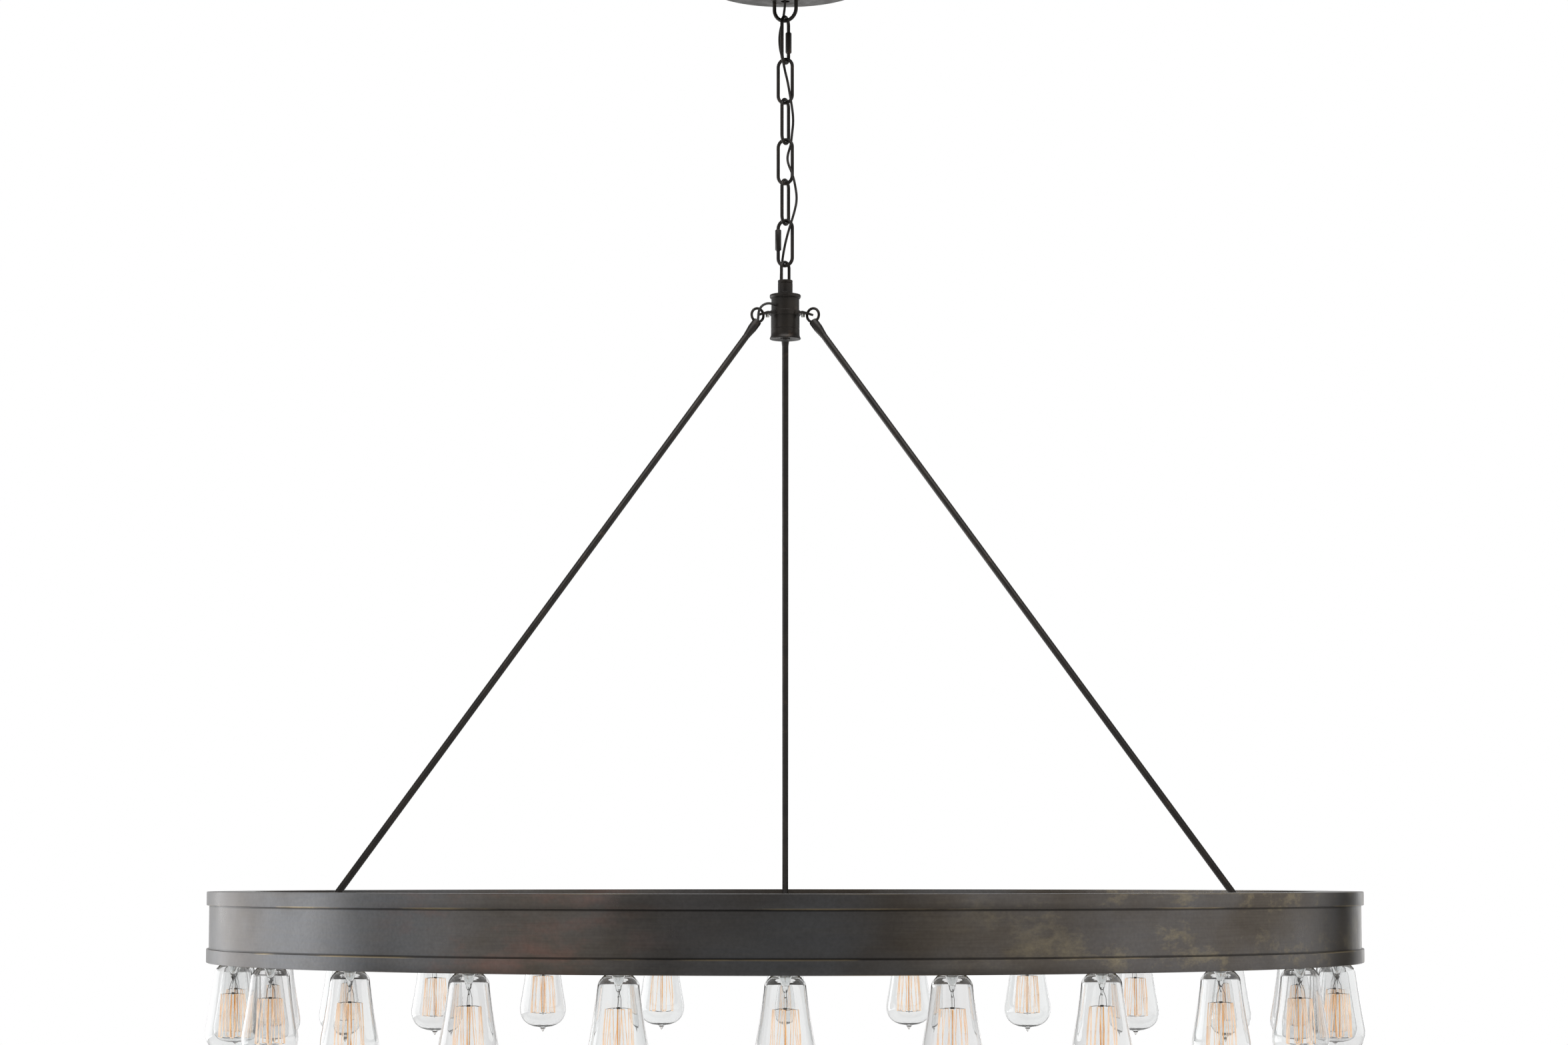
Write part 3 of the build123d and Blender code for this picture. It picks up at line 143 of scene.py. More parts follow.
def patinated_steel():
    """Steel strip with a mottled bronze patina, waxed and worn through along its edges, with a painted shadow
    beside each band and a painted highlight along the band edges.
    """
    material, tree, shader = finish("patinated and waxed steel strip", Metallic=0.8)
    # Clouds of some 150 mm between a neutral grey and an olive brown
    clouds = patches(tree, 5.0, 4, 0.38, 0.62, stretch=(1, 1, 1.5), offset=(0.4, 2.6, 0.9))
    tones = ((6, srgb("47413b")), (7, srgb("525050")))
    colour = add(tree, "ShaderNodeMix", (0, clouds), *tones, data_type="RGBA")
    cool = patches(tree, 3.2, 3, 0.5, 0.66, 0.7, offset=(3.1, 0.4, 1.7))
    colour = add(tree, "ShaderNodeMix", (0, cool), (6, colour), (7, srgb("585a5d")), data_type="RGBA")
    # Patches where the patina thinned: olive gold at the right, brownish red left of the middle
    way = add(tree, "ShaderNodeSeparateXYZ", (0, add(tree, "ShaderNodeTexCoord").outputs["Object"]))
    across, height = way.outputs["X"], way.outputs["Z"]
    right = add(tree, "ShaderNodeMapRange", ("Value", across), ("From Min", 0.1), ("From Max", 0.4))
    gold = patches(tree, 15.0, 7, 0.52, 0.7, stretch=(1, 1, 2.0), offset=(0.3, 5.2, 2.2), roughness=0.72)
    gold = add(tree, "ShaderNodeMath", (0, gold), (1, right), operation="MULTIPLY")
    gold = add(tree, "ShaderNodeMath", (0, gold), (1, 0.65), operation="MULTIPLY")
    colour = add(tree, "ShaderNodeMix", (0, gold), (6, colour), (7, srgb("857a60")), data_type="RGBA")
    rust = patches(tree, 10.0, 6, 0.5, 0.68, stretch=(1, 1, 2.4), offset=(7.3, 1.1, 0.2), roughness=0.68)
    for start, end in ((-0.1, -0.2), (-0.44, -0.36)):
        side = add(tree, "ShaderNodeMapRange", ("Value", across), ("From Min", start), ("From Max", end))
        rust = add(tree, "ShaderNodeMath", (0, rust), (1, side), operation="MULTIPLY")
    rust = add(tree, "ShaderNodeMath", (0, rust), (1, 0.5), operation="MULTIPLY")
    colour = add(tree, "ShaderNodeMix", (0, rust), (6, colour), (7, srgb("684c44")), data_type="RGBA")
    flat = (1, 1, 1.8)
    dark = patches(tree, 7.0, 8, 0.55, 0.75, 0.45, stretch=flat, offset=(2.0, 2.0, 9.0), roughness=0.65)
    colour = add(tree, "ShaderNodeMix", (0, dark), (6, colour), (7, srgb("322e2a")), data_type="RGBA")
    # Brush marks of the waxing run round the ring, 1 to 2 mm apart, and fine mottling lies over them
    brushed = patches(tree, 14.0, 3, 0.35, 0.65, 0.16, stretch=(1, 1, 34))
    colour = add(tree, "ShaderNodeMix", (0, brushed), (6, colour), (7, srgb("625d55")), data_type="RGBA")
    fine = patches(tree, 260, 2, 0.3, 0.7, 0.16)
    colour = add(tree, "ShaderNodeMix", (0, fine), (6, colour), (7, srgb("211f1c")), data_type="RGBA")
    # A painted shadow on the wall along each band, where the proud band shades it, and pale band edges that
    # noise breaks up, partly worn through and partly a painted highlight
    painted_band_shadow = ("171513", 0.5, 1.3, 0.75)
    # Pale band edge lines: partly worn through, partly a painted highlight where the edge catches light
    worn_and_highlit_edge = ("8f8063", 0.3, 1.1, 0.7)
    faint = ("8f8063", 0.3, 1.1, 0.35)
    broken = patches(tree, 6.0, 5, 0.5, 0.64, stretch=(1, 1, 5), offset=(4.0, 8.0, 1.0))
    for level, (tint, near, far, most) in (
        (UPPER_BAND_LOW - 0.9, painted_band_shadow),
        (LOWER_BAND_HIGH + 0.9, painted_band_shadow),
        (UPPER_BAND_LOW + 0.4, worn_and_highlit_edge),
        (LOWER_BAND_HIGH - 0.4, worn_and_highlit_edge),
        (RING_TOP, faint),
        (RING_BOTTOM, faint),
    ):
        off = add(tree, "ShaderNodeMath", (0, height), (1, level * MM), operation="SUBTRACT")
        off = add(tree, "ShaderNodeMath", (0, off), operation="ABSOLUTE")
        reach = (("From Min", near * MM), ("From Max", far * MM), ("To Min", most), ("To Max", 0.0))
        amount = add(tree, "ShaderNodeMapRange", ("Value", off), *reach)
        # The painted band shadow runs unbroken; only the pale edge lines are broken by noise
        if tint != painted_band_shadow[0]:
            amount = add(tree, "ShaderNodeMath", (0, amount), (1, broken), operation="MULTIPLY")
        colour = add(tree, "ShaderNodeMix", (0, amount), (6, colour), (7, srgb(tint)), data_type="RGBA")
    tree.links.new(colour.outputs[2], shader.inputs["Base Color"])
    tree.links.new(patches(tree, 12.0, 6, 0.3, 0.7, 0.36, 0.26).outputs[0], shader.inputs["Roughness"])
    # Wax keeps the grazing edges of the ring from mirroring the studio brightly
    shader.inputs["Specular Tint"].default_value = (0.55, 0.55, 0.55, 1.0)
    grain = patches(tree, 14.0, 4, 0.0, 1.0, stretch=(1, 1, 34))
    bump = add(tree, "ShaderNodeBump", ("Height", grain), ("Strength", 0.05), ("Distance", 0.0005))
    tree.links.new(bump.outputs[0], shader.inputs["Normal"])
    return material


def dark_bronze(name, tint, brown):
    """Dark bronze paint, sprayed on turned and bent steel and a little worn, which leaves brown spots."""
    material, tree, shader = finish(name, Metallic=0.55)
    base = two_tone(tree, 38.0, 5, tint, brown)
    spots = patches(tree, 75.0, 6, 0.6, 0.78, 0.5, offset=(1.0, 3.0, 2.0))
    colour = add(tree, "ShaderNodeMix", (0, spots), (6, base), (7, srgb("4f3d2f")), data_type="RGBA")
    tree.links.new(colour.outputs[2], shader.inputs["Base Color"])
    tree.links.new(patches(tree, 60.0, 4, 0.3, 0.7, 0.5, 0.34).outputs[0], shader.inputs["Roughness"])
    # Orange peel of the sprayed paint, a few millimetres across
    peel = patches(tree, 240.0, 4, 0.0, 1.0)
    bump = add(tree, "ShaderNodeBump", ("Height", peel), ("Strength", 0.1), ("Distance", 0.0003))
    tree.links.new(bump.outputs[0], shader.inputs["Normal"])
    return material


def plain(name, first, second, metallic, roughness, scale=120.0, detail=4):
    """A plain even finish with a faint variation in its tone."""
    material, tree, shader = finish(name, Metallic=metallic, Roughness=roughness)
    tone = two_tone(tree, scale, detail, first, second)
    tree.links.new(tone.outputs[2], shader.inputs["Base Color"])
    return material


def woven_cord():
    """Lamp cord in a braided cotton sheath: two sets of slanting yarns that cross."""
    material, tree, shader = finish("braided cotton sheath", Metallic=0.0, Roughness=0.8)
    yarns = []
    for slant in (0.9, -0.9):
        place = add(tree, "ShaderNodeTexCoord").outputs["Object"]
        placed = add(tree, "ShaderNodeMapping", ("Vector", place), ("Rotation", (slant, slant, 0)))
        look = (("Scale", 300.0), ("Distortion", 1.5))
        wave = add(tree, "ShaderNodeTexWave", ("Vector", placed), *look, bands_direction="Z")
        yarns.append(wave.outputs["Fac"])
    weave = add(tree, "ShaderNodeMath", (0, yarns[0]), (1, yarns[1]), operation="MULTIPLY")
    shade = add(tree, "ShaderNodeMapRange", ("Value", weave), ("From Min", 0.1), ("From Max", 0.8))
    tones = ((6, srgb("100e0c")), (7, srgb("2b241f")))
    colour = add(tree, "ShaderNodeMix", (0, shade), *tones, data_type="RGBA")
    tree.links.new(colour.outputs[2], shader.inputs["Base Color"])
    bump = add(tree, "ShaderNodeBump", ("Height", weave), ("Strength", 0.5), ("Distance", 0.0004))
    tree.links.new(bump.outputs[0], shader.inputs["Normal"])
    return material


def clear_glass(name, tint, ior=1.45):
    """Blown clear glass, whose faint waves bend what lies behind it."""
    material, tree, shader = finish(name, Roughness=0.0, IOR=ior, Transmission_Weight=1.0)
    tone = two_tone(tree, 8.0, 2, tint, "f4f5f5", 0.4, 0.6)
    tree.links.new(tone.outputs[2], shader.inputs["Base Color"])
    waves = patches(tree, 30.0, 2, 0.0, 1.0)
    bump = add(tree, "ShaderNodeBump", ("Height", waves), ("Strength", 0.08), ("Distance", 0.0008))
    tree.links.new(bump.outputs[0], shader.inputs["Normal"])
    return material


def painted_glow(name, first, second, strength):
    """Carbon thread with a faint painted glow that keeps it bright inside the glass, brighter and dimmer
    along its length.
    """
    material, tree, shader = finish(name, Roughness=0.6, Emission_Strength=strength)
    tone = two_tone(tree, 45.0, 3, first, second)
    tree.links.new(tone.outputs[2], shader.inputs["Base Color"])
    tree.links.new(tone.outputs[2], shader.inputs["Emission Color"])
    return material


PATINA = patinated_steel()
BRONZE = dark_bronze("dark bronze spray paint", "151210", "231e19")
CANOPY_PAINT = dark_bronze("canopy bronze spray paint", "34322f", "3c3a38")
ZINC = plain("zinc plated steel", "a9aaa6", "c9c8c2", 1.0, 0.34, 60.0)
CORD = woven_cord()
LEAD = plain("black wire sleeve", "161412", "221f1c", 0.0, 0.55, 200.0, 3)
PORCELAIN = plain("glazed porcelain", "d9d4c8", "e6e2d8", 0.0, 0.25, 200.0, 3)
BRASS = plain("pressed brass cap", "b59a62", "c9b27a", 1.0, 0.3)
GLASS = clear_glass("blown clear bulb glass", "f0f0f0")
STEM_GLASS = clear_glass("pressed clear stem glass", "eceeee", 1.5)
# The filament and its core carry a faint painted glow in their own colours
FILAMENT = painted_glow("carbon filament with painted glow", "f2c9a2", "f9e3cc", 0.5)
CORE = painted_glow("amber filament core with painted glow", "cf8a3c", "e8b06a", 0.6)
SUPPORT = plain("drawn molybdenum wire", "3d3934", "57524a", 1.0, 0.4)


# Mesh tools. Every mesh is made in the row frame and its object stays at the origin

def new_object(name, points, faces, material, smooth=True, transform=None):
    """An object from points in millimetres, with its finish."""
    mesh = bpy.data.meshes.new(name)
    mesh.from_pydata([Vector(p) * MM for p in points], [], faces)
    mesh.validate()
    mesh.materials.append(material)
    mesh.shade_smooth() if smooth else mesh.shade_flat()
    if transform is not None:
        moved = transform.copy()
        moved.translation = moved.translation * MM
        mesh.transform(moved)
    made = bpy.data.objects.new(name, mesh)
    bpy.context.scene.collection.objects.link(made)
    return made


def crease(made, degrees=35.0):
    """Marks the sharp edges of a mesh, so that only its soft ones are shaded round."""
    made.data.set_sharp_from_angle(angle=math.radians(degrees))
    return made


def lathe_mesh(profile, sides):
    """Points and faces of a profile turned about Z. A profile point is (radius, height)."""
    area = sum(a[0] * b[1] - b[0] * a[1] for a, b in zip(profile, profile[1:] + profile[:1]))
    if area < 0:
        profile = profile[::-1]
    points, rings = [], []
    for radius, height in profile:
        if radius < 1e-6:
            rings.append([len(points)])
            points.append((0, 0, height))
        else:
            rings.append(list(range(len(points), len(points) + sides)))
            for k in range(sides):
                a = 2 * math.pi * k / sides
                points.append((radius * math.cos(a), radius * math.sin(a), height))
    faces = []
    for low, high in zip(rings, rings[1:]):
        for k in range(sides):
            n = (k + 1) % sides
            if len(low) == 1 and len(high) == 1:
                break  # two points on the axis, such as the glass's outside and inside tips
            if len(low) == 1:
                faces.append((low[0], high[n], high[k]))
            elif len(high) == 1:
                faces.append((low[k], low[n], high[0]))
            else:
                faces.append((low[k], low[n], high[n], high[k]))
    return points, faces


def lathe(name, profile, sides, material, closed=False, transform=None):
    """A turned piece. A closed profile runs round to its first point, like a ring's section."""
    if closed:
        profile = profile + [profile[0]]
    points, faces = lathe_mesh(profile, sides)
    if closed:
        last = len(points) - sides
        faces = [tuple(i - last if i >= last else i for i in f) for f in faces]
        points = points[:last]
    return crease(new_object(name, points, faces, material, transform=transform))


def tube_mesh(path, radius, sides, closed=False):
    """Points and faces of a round tube along a path, with frames carried along it."""
    path = [Vector(p) for p in path]
    count = len(path)
    points, faces = [], []
    normal = None
    for i, p in enumerate(path):
        if closed:
            way = (path[(i + 1) % count] - path[i - 1]).normalized()
        else:
            way = (path[min(i + 1, count - 1)] - path[max(i - 1, 0)]).normalized()
        if normal is None:
            normal = way.orthogonal().normalized()
        normal = (normal - way * normal.dot(way)).normalized()
        side = way.cross(normal)
        r = radius[i] if isinstance(radius, list) else radius
        for k in range(sides):
            a = 2 * math.pi * k / sides
            points.append(p + normal * (r * math.cos(a)) + side * (r * math.sin(a)))
    for i in range(count if closed else count - 1):
        j = (i + 1) % count
        for k in range(sides):
            n = (k + 1) % sides
            faces.append((i * sides + k, i * sides + n, j * sides + n, j * sides + k))
    if not closed:
        faces.append(tuple(range(sides - 1, -1, -1)))
        faces.append(tuple((count - 1) * sides + k for k in range(sides)))
    return points, faces


def join(parts):
    """One set of points and faces from several."""
    points, faces = [], []
    for p, f in parts:
        start = len(points)
        points.extend(p)
        faces.extend(tuple(i + start for i in face) for face in f)
    return points, faces


def upright(azimuth, across, height, depth=0.0):
    """A point in the upright plane at an azimuth in radians."""
    c, s = math.cos(azimuth), math.sin(azimuth)
    return Vector((across * c - depth * s, across * s + depth * c, height))


def arc(centre, radius, start, end, count):
    """Points (across, height) on an arc, angles in degrees from the across direction."""
    out = []
    for i in range(count + 1):
        a = math.radians(start + (end - start) * i / count)
        out.append((centre[0] + radius * math.cos(a), centre[1] + radius * math.sin(a)))
    return out


# Turned metal: canopy, hub and rods

def ride(made, body, slot, *replaced):
    """Puts a piece on its CAD body, in place of its CAD nodes."""
    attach(made, body)
    if replaced:
        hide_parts(*replaced)
    return made


canopy_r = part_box("canopy")[1][0] / MM
canopy_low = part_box("canopy")[0][2] / MM
edge_centre = (canopy_r - CANOPY_EDGE_R, canopy_low + CANOPY_EDGE_R)
canopy_profile = [(17.45, canopy_low), (17.45, canopy_low + CANOPY_WALL)]
canopy_profile += [(edge_centre[0], canopy_low + CANOPY_WALL)]
canopy_profile += arc(edge_centre, CANOPY_EDGE_R - CANOPY_WALL, -90, 0, 8)[1:]
canopy_profile += [(canopy_r - CANOPY_WALL, -0.2), (canopy_r, -0.2)]
canopy_profile += arc(edge_centre, CANOPY_EDGE_R, 0, -90, 12)
ride(lathe("canopy_pan", canopy_profile, 160, CANOPY_PAINT, closed=True), "canopy", "dark_bronze", "canopy")

collar_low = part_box("canopy_collar")[0][2] / MM
collar = [(17.45, canopy_low - 0.05), (21.2, canopy_low - 0.05), (21.9, canopy_low - 0.9)]
collar += [(21.9, collar_low + 1.0), (21.0, collar_low + 0.05), (17.45, collar_low + 0.05)]
ride(lathe("canopy_collar_ring", collar, 96, BRONZE, closed=True), "canopy", "dark_bronze", "canopy_collar")

loop_base = [(0, -12.0), (16.6, -12.0), (17.0, -12.5), (17.0, -35.3), (16.3, -36.0)]
loop_base += [(5.5, -36.0), (5.5, -24.0), (0, -24.0)]
bail_path = [upright(CHAIN_TURN, 14.55, -35.0), upright(CHAIN_TURN, 14.55, -40.0)]
bail_path += [upright(CHAIN_TURN, *p) for p in arc((0, -45.45), 14.55, 0, -180, 28)]
bail_path += [upright(CHAIN_TURN, -14.55, -40.0), upright(CHAIN_TURN, -14.55, -35.0)]
points, faces = join([lathe_mesh(loop_base, 64), tube_mesh(bail_path, 2.3, 20)])
canopy_loop = crease(new_object("canopy_loop_piece", points, faces, BRONZE))
ride(canopy_loop, "ceiling_mount", "dark_bronze", "canopy_loop")


def link_path(azimuth, top, bottom, bend=9.45, gap=None, gap_side=1):
    """The middle line of a link. gap is the two heights between which its gate leg is open."""
    upper, lower = top - bend, bottom + bend
    line = arc((0, upper), bend, 0, 180, 24) + arc((0, lower), bend, 180, 360, 24)
    if gap is None:
        return [upright(azimuth, *p) for p in line], True
    if gap_side > 0:
        path = [(bend, gap[1])] + line + [(bend, gap[0])]
    else:
        turned = arc((0, lower), bend, 180, 360, 24) + arc((0, upper), bend, 0, 180, 24)
        path = [(-bend, gap[0])] + turned + [(-bend, gap[1])]
    return [upright(azimuth, *p) for p in path], False


LINKS = [
    ("quick_link_top", "top_quick_link", EDGE_TURN, -55.3, -112.3, 2.1),
    ("chain_link_1", "link_1", CHAIN_TURN, -107.85, -162.15, 2.05),
    ("chain_link_2", "link_2", EDGE_TURN, -157.75, -212.05, 2.05),
    ("chain_link_3", "link_3", CHAIN_TURN, -207.65, -261.95, 2.05),
    ("chain_link_4", "link_4", EDGE_TURN, -257.55, -311.85, 2.05),
    ("quick_link_bottom", "bottom_quick_link", CHAIN_TURN, -307.4, -363.1, 2.1),
]
GAPS = {"quick_link_top": ((-97.4, -92.6), 1), "quick_link_bottom": ((-323.9, -319.1), -1)}
for name, body, azimuth, top, bottom, wire in LINKS:
    gap, side = GAPS.get(name, (None, 1))
    path, closed = link_path(azimuth, top, bottom, gap=gap, gap_side=side)
    points, faces = tube_mesh(path, wire, 20, closed)
    ride(crease(new_object(name + "_wire", points, faces, BRONZE), 50), body, "dark_bronze", name)


def sleeve_points(low, length, across_flats, bore):
    """The profile of a hexagonal sleeve with turned ends, which is turned with six sides."""
    r = across_flats / math.cos(math.pi / 6)
    profile = [(bore, low + 0.4), (bore + 0.4, low), (across_flats - 0.3, low), (r, low + 1.0)]
    profile += [(r, low + length - 1.0), (across_flats - 0.3, low + length), (bore + 0.4, low + length)]
    profile += [(bore, low + length - 0.4)]
    return profile


for name, body, azimuth, side, low in (
    ("quick_link_top_sleeve", "top_gate", EDGE_TURN, 1, -98.6),
    ("quick_link_bottom_sleeve", "bottom_gate", CHAIN_TURN, -1, -343.9),
):
    place = Matrix.Translation(upright(azimuth, side * 9.45, 0.0))
    made = lathe(name + "_nut", sleeve_points(low, 26.0, 3.2, 2.45), 6, BRONZE, closed=True, transform=place)
    ride(made, body, "dark_bronze", name)

loop_path = [upright(HUB_LOOP_TURN, 7.0, -385.8), upright(HUB_LOOP_TURN, 7.0, -376.0)]
loop_path += [upright(HUB_LOOP_TURN, *p) for p in arc((0, -365.8), 7.0, 0, 180, 24)]
loop_path += [upright(HUB_LOOP_TURN, -7.0, -376.0), upright(HUB_LOOP_TURN, -7.0, -385.8)]
points, faces = tube_mesh(loop_path, 1.9, 20)
ride(crease(new_object("hub_loop_wire", points, faces, BRONZE), 50), "hub", "dark_bronze", "hub_loop")

hub_collar = [(0, -381.0), (8.4, -381.0), (9.0, -381.6), (9.0, -384.1), (8.5, -384.6), (9.0, -385.1)]
hub_collar += [(9.0, -395.4), (9.0, -396.0), (0, -396.0)]
hub_cap = [(0, -396.0), (9.0, -396.0), (9.6, -396.7), (11.2, -397.6), (13.6, -398.2), (16.6, -398.55)]
hub_cap += [(18.2, -398.9), (18.9, -399.6), (19.0, -400.6), (18.9, -402.2)]
hub_cap += [(18.2, -403.4), (17.3, -404.0), (0, -404.0)]
hub_upper = [(15.5, -404.0), (17.0, -404.0), (17.0, -418.4), (15.5, -418.4)]
hub_lower = [(15.9, -425.0), (17.4, -425.0), (17.4, -440.4), (17.05, -440.8), (17.05, -441.2), (17.4, -441.6)]
hub_lower += [(17.4, -446.5), (15.9, -446.5)]
hub_rim = [(0, -446.5), (17.4, -446.5), (17.5, -448.6), (18.0, -450.6), (18.8, -451.9), (19.0, -452.6)]
hub_rim += [(18.6, -453.5), (17.4, -453.5), (8.0, -452.4), (0, -452.4)]
for name, profile, replaced, closed in (
    ("hub_collar_turned", hub_collar, "hub_collar", False),
    ("hub_cap_turned", hub_cap, "hub_cap", False),
    ("hub_upper_tube", hub_upper, "hub_upper_body", True),
    ("hub_lower_tube", hub_lower, "hub_lower_body", True),
    ("hub_rim_turned", hub_rim, "hub_bottom_cap", False),
):
    ride(lathe(name, profile, 72, BRONZE, closed=closed), "hub", "dark_bronze", replaced)

# The tab plate stands a little proud of the bodies, with a softened edge
plate_rim = [(17.0, -418.6), (18.1, -418.6), (18.5, -419.1), (18.5, -424.3), (18.1, -424.8), (17.0, -424.8)]
ride(lathe("hub_tab_plate_rim", plate_rim, 72, BRONZE, closed=True), "hub", "dark_bronze")

# Rods and their eyes, made along azimuth 0 and turned into place
rod_way = (LUG_HOLE - HOLE).normalized()
rod_span = (LUG_HOLE - HOLE).length
tilt = Vector((0, 0, 1)).rotation_difference(rod_way).to_matrix().to_4x4()
ferrule = [(0, 12.8), (4.6, 12.8), (5.3, 13.3), (5.5, 14.2), (5.5, 24.6), (5.0, 28.8), (4.1, 36.8), (0, 36.8)]


def eye_parts(hole, way):
    """The ring and ferrule of one rod end, in azimuth 0's plane."""
    side = Vector((0, -1, 0))
    upward = side.cross(way)
    centre = hole + way * (EYE_BEND_R * math.cos(EYE_TURN)) + upward * (EYE_BEND_R * math.sin(EYE_TURN))
    ring = []
    for k in range(48):
        a = 2 * math.pi * k / 48
        ring.append(centre + way * (EYE_BEND_R * math.cos(a)) + upward * (EYE_BEND_R * math.sin(a)))
    turn = Vector((0, 0, 1)).rotation_difference(way).to_matrix().to_4x4()
    points, faces = lathe_mesh(ferrule, 40)
    points = [turn @ Vector(p) + hole for p in points]
    return join([tube_mesh(ring, 1.6, 16, True), (points, faces)])


for name, azimuth in ROD_AZIMUTHS.items():
    turn = Matrix.Rotation(math.radians(azimuth), 4, "Z")
    body = name + "_rod"
    bar = lathe_mesh([(0, 36.8), (4.0, 36.8), (4.0, rod_span - 36.8), (0, rod_span - 36.8)], 40)
    points = [tilt @ Vector(p) + HOLE for p in bar[0]]
    made = crease(new_object(f"rod_{name}_bar", points, bar[1], BRONZE, transform=turn))
    ride(made, body, "dark_bronze", f"rod_{name}")
    for place, hole, way in (("upper", HOLE, rod_way), ("lower", LUG_HOLE, -rod_way)):
        points, faces = eye_parts(hole, way)
        made = crease(new_object(f"rod_{name}_{place}_eye_piece", points, faces, BRONZE, transform=turn))
        ride(made, body, "dark_bronze", f"rod_{name}_{place}_eye")


# Ring: strip walls and bands with eased edges

outer_wall = [(681.5, RING_TOP - 1.5), (WALL_R, RING_TOP - 1.5)]
outer_wall += [(WALL_R, RING_BOTTOM + 1.5), (681.5, RING_BOTTOM + 1.5)]
outer_strip = lathe("outer_wall_strip", outer_wall, 288, PATINA, closed=True)
ride(outer_strip, "ring", "ring_bronze", "ring_outer_wall")
for name, low, replaced in (
    ("upper_band_strip", RING_TOP - BAND_HEIGHT, "ring_upper_band"),
    ("lower_band_strip", RING_BOTTOM, "ring_lower_band"),
):
    high = low + BAND_HEIGHT
    section = [(682.8, low), (RING_R - 0.8, low), (RING_R - 0.15, low + 0.3), (RING_R, low + 1.0)]
    section += [(RING_R, high - 1.0), (RING_R - 0.15, high - 0.3), (RING_R - 0.8, high), (682.8, high)]
    ride(lathe(name, section, 288, PATINA, closed=True), "ring", "ring_bronze", replaced)


# What repeats round the ring is made once and copied by Geometry Nodes

def circle_of(name, source, count, radius, material, spread_seed=0, turn_spread=0.0):
    """Copies of source on a circle, the first at the front, as one mesh. turn_spread varies their turn."""
    tree = bpy.data.node_groups.new(name + "_circle", "GeometryNodeTree")
    tree.interface.new_socket(name="Geometry", in_out="OUTPUT", socket_type="NodeSocketGeometry")
    inputs = {}
    for label, kind in (
        ("Count", "NodeSocketInt"),
        ("Radius", "NodeSocketFloat"),
        ("Turn spread", "NodeSocketFloat"),
        ("Seed", "NodeSocketInt"),
        ("Piece", "NodeSocketObject"),
        ("Finish", "NodeSocketMaterial"),
    ):
        inputs[label] = tree.interface.new_socket(name=label, in_out="INPUT", socket_type=kind).identifier
    given = add(tree, "NodeGroupInput")
    piece = add(tree, "GeometryNodeObjectInfo", ("Object", given.outputs["Piece"]))
    ring = (("Vertices", given.outputs["Count"]), ("Radius", given.outputs["Radius"]))
    circle = add(tree, "GeometryNodeMeshCircle", *ring)
    step = add(tree, "ShaderNodeMath", (0, 2 * math.pi), (1, given.outputs["Count"]), operation="DIVIDE")
    index = add(tree, "GeometryNodeInputIndex").outputs[0]
    angle = add(tree, "ShaderNodeMath", (0, index), (1, step), operation="MULTIPLY")
    turn = given.outputs["Turn spread"]
    least = add(tree, "ShaderNodeMath", (0, turn), (1, -1.0), operation="MULTIPLY")
    limits = ((2, least), (3, turn), ("Seed", given.outputs["Seed"]))
    varied = add(tree, "FunctionNodeRandomValue", *limits, data_type="FLOAT")
    total = add(tree, "ShaderNodeMath", (0, angle), (1, varied), operation="ADD")
    rotation = add(tree, "ShaderNodeCombineXYZ", ("Z", total))
    copies = (("Points", circle), ("Instance", piece.outputs["Geometry"]), ("Rotation", rotation))
    placed = add(tree, "GeometryNodeInstanceOnPoints", *copies)
    realized = add(tree, "GeometryNodeRealizeInstances", (0, placed))
    coat = ("Material", given.outputs["Finish"])
    finished = add(tree, "GeometryNodeSetMaterial", ("Geometry", realized), coat)
    add(tree, "NodeGroupOutput", (0, finished))

    carrier = bpy.data.objects.new(name + "_carrier", bpy.data.meshes.new(name + "_carrier"))
    bpy.context.scene.collection.objects.link(carrier)
    modifier = carrier.modifiers.new("circle", "NODES")
    modifier.node_group = tree
    for label, value in (
        ("Count", count),
        ("Radius", radius * MM),
        ("Turn spread", turn_spread),
        ("Seed", spread_seed),
        ("Piece", source),
        ("Finish", material),
    ):
        modifier[inputs[label]] = value
    bpy.context.view_layer.update()
    evaluated = carrier.evaluated_get(bpy.context.evaluated_depsgraph_get())
    mesh = bpy.data.meshes.new_from_object(evaluated)
    mesh.name = name
    mesh.materials.clear()
    mesh.materials.append(material)
    mesh.transform(Matrix.Rotation(-math.pi / 2, 4, "Z"))
    made = bpy.data.objects.new(name, mesh)
    bpy.context.scene.collection.objects.link(made)
    carrier.modifiers.remove(modifier)
    bpy.data.objects.remove(carrier)
    bpy.data.objects.remove(source)
    return made


def smooth_profile(points, rows):
    """A profile through the points, as a Catmull-Rom curve."""
    ends = [points[0]] + points + [points[-1]]
    out = []
    for i in range(1, len(ends) - 2):
        p0, p1, p2, p3 = (Vector(ends[i + k]) for k in (-1, 0, 1, 2))
        for j in range(rows):
            t = j / rows
            a = 2 * p1
            b = (p2 - p0) * t
            c = (2 * p0 - 5 * p1 + 4 * p2 - p3) * t * t
            d = (3 * p1 - p0 - 3 * p2 + p3) * t * t * t
            out.append(tuple((a + b + c + d) * 0.5))
    return out + [points[-1]]


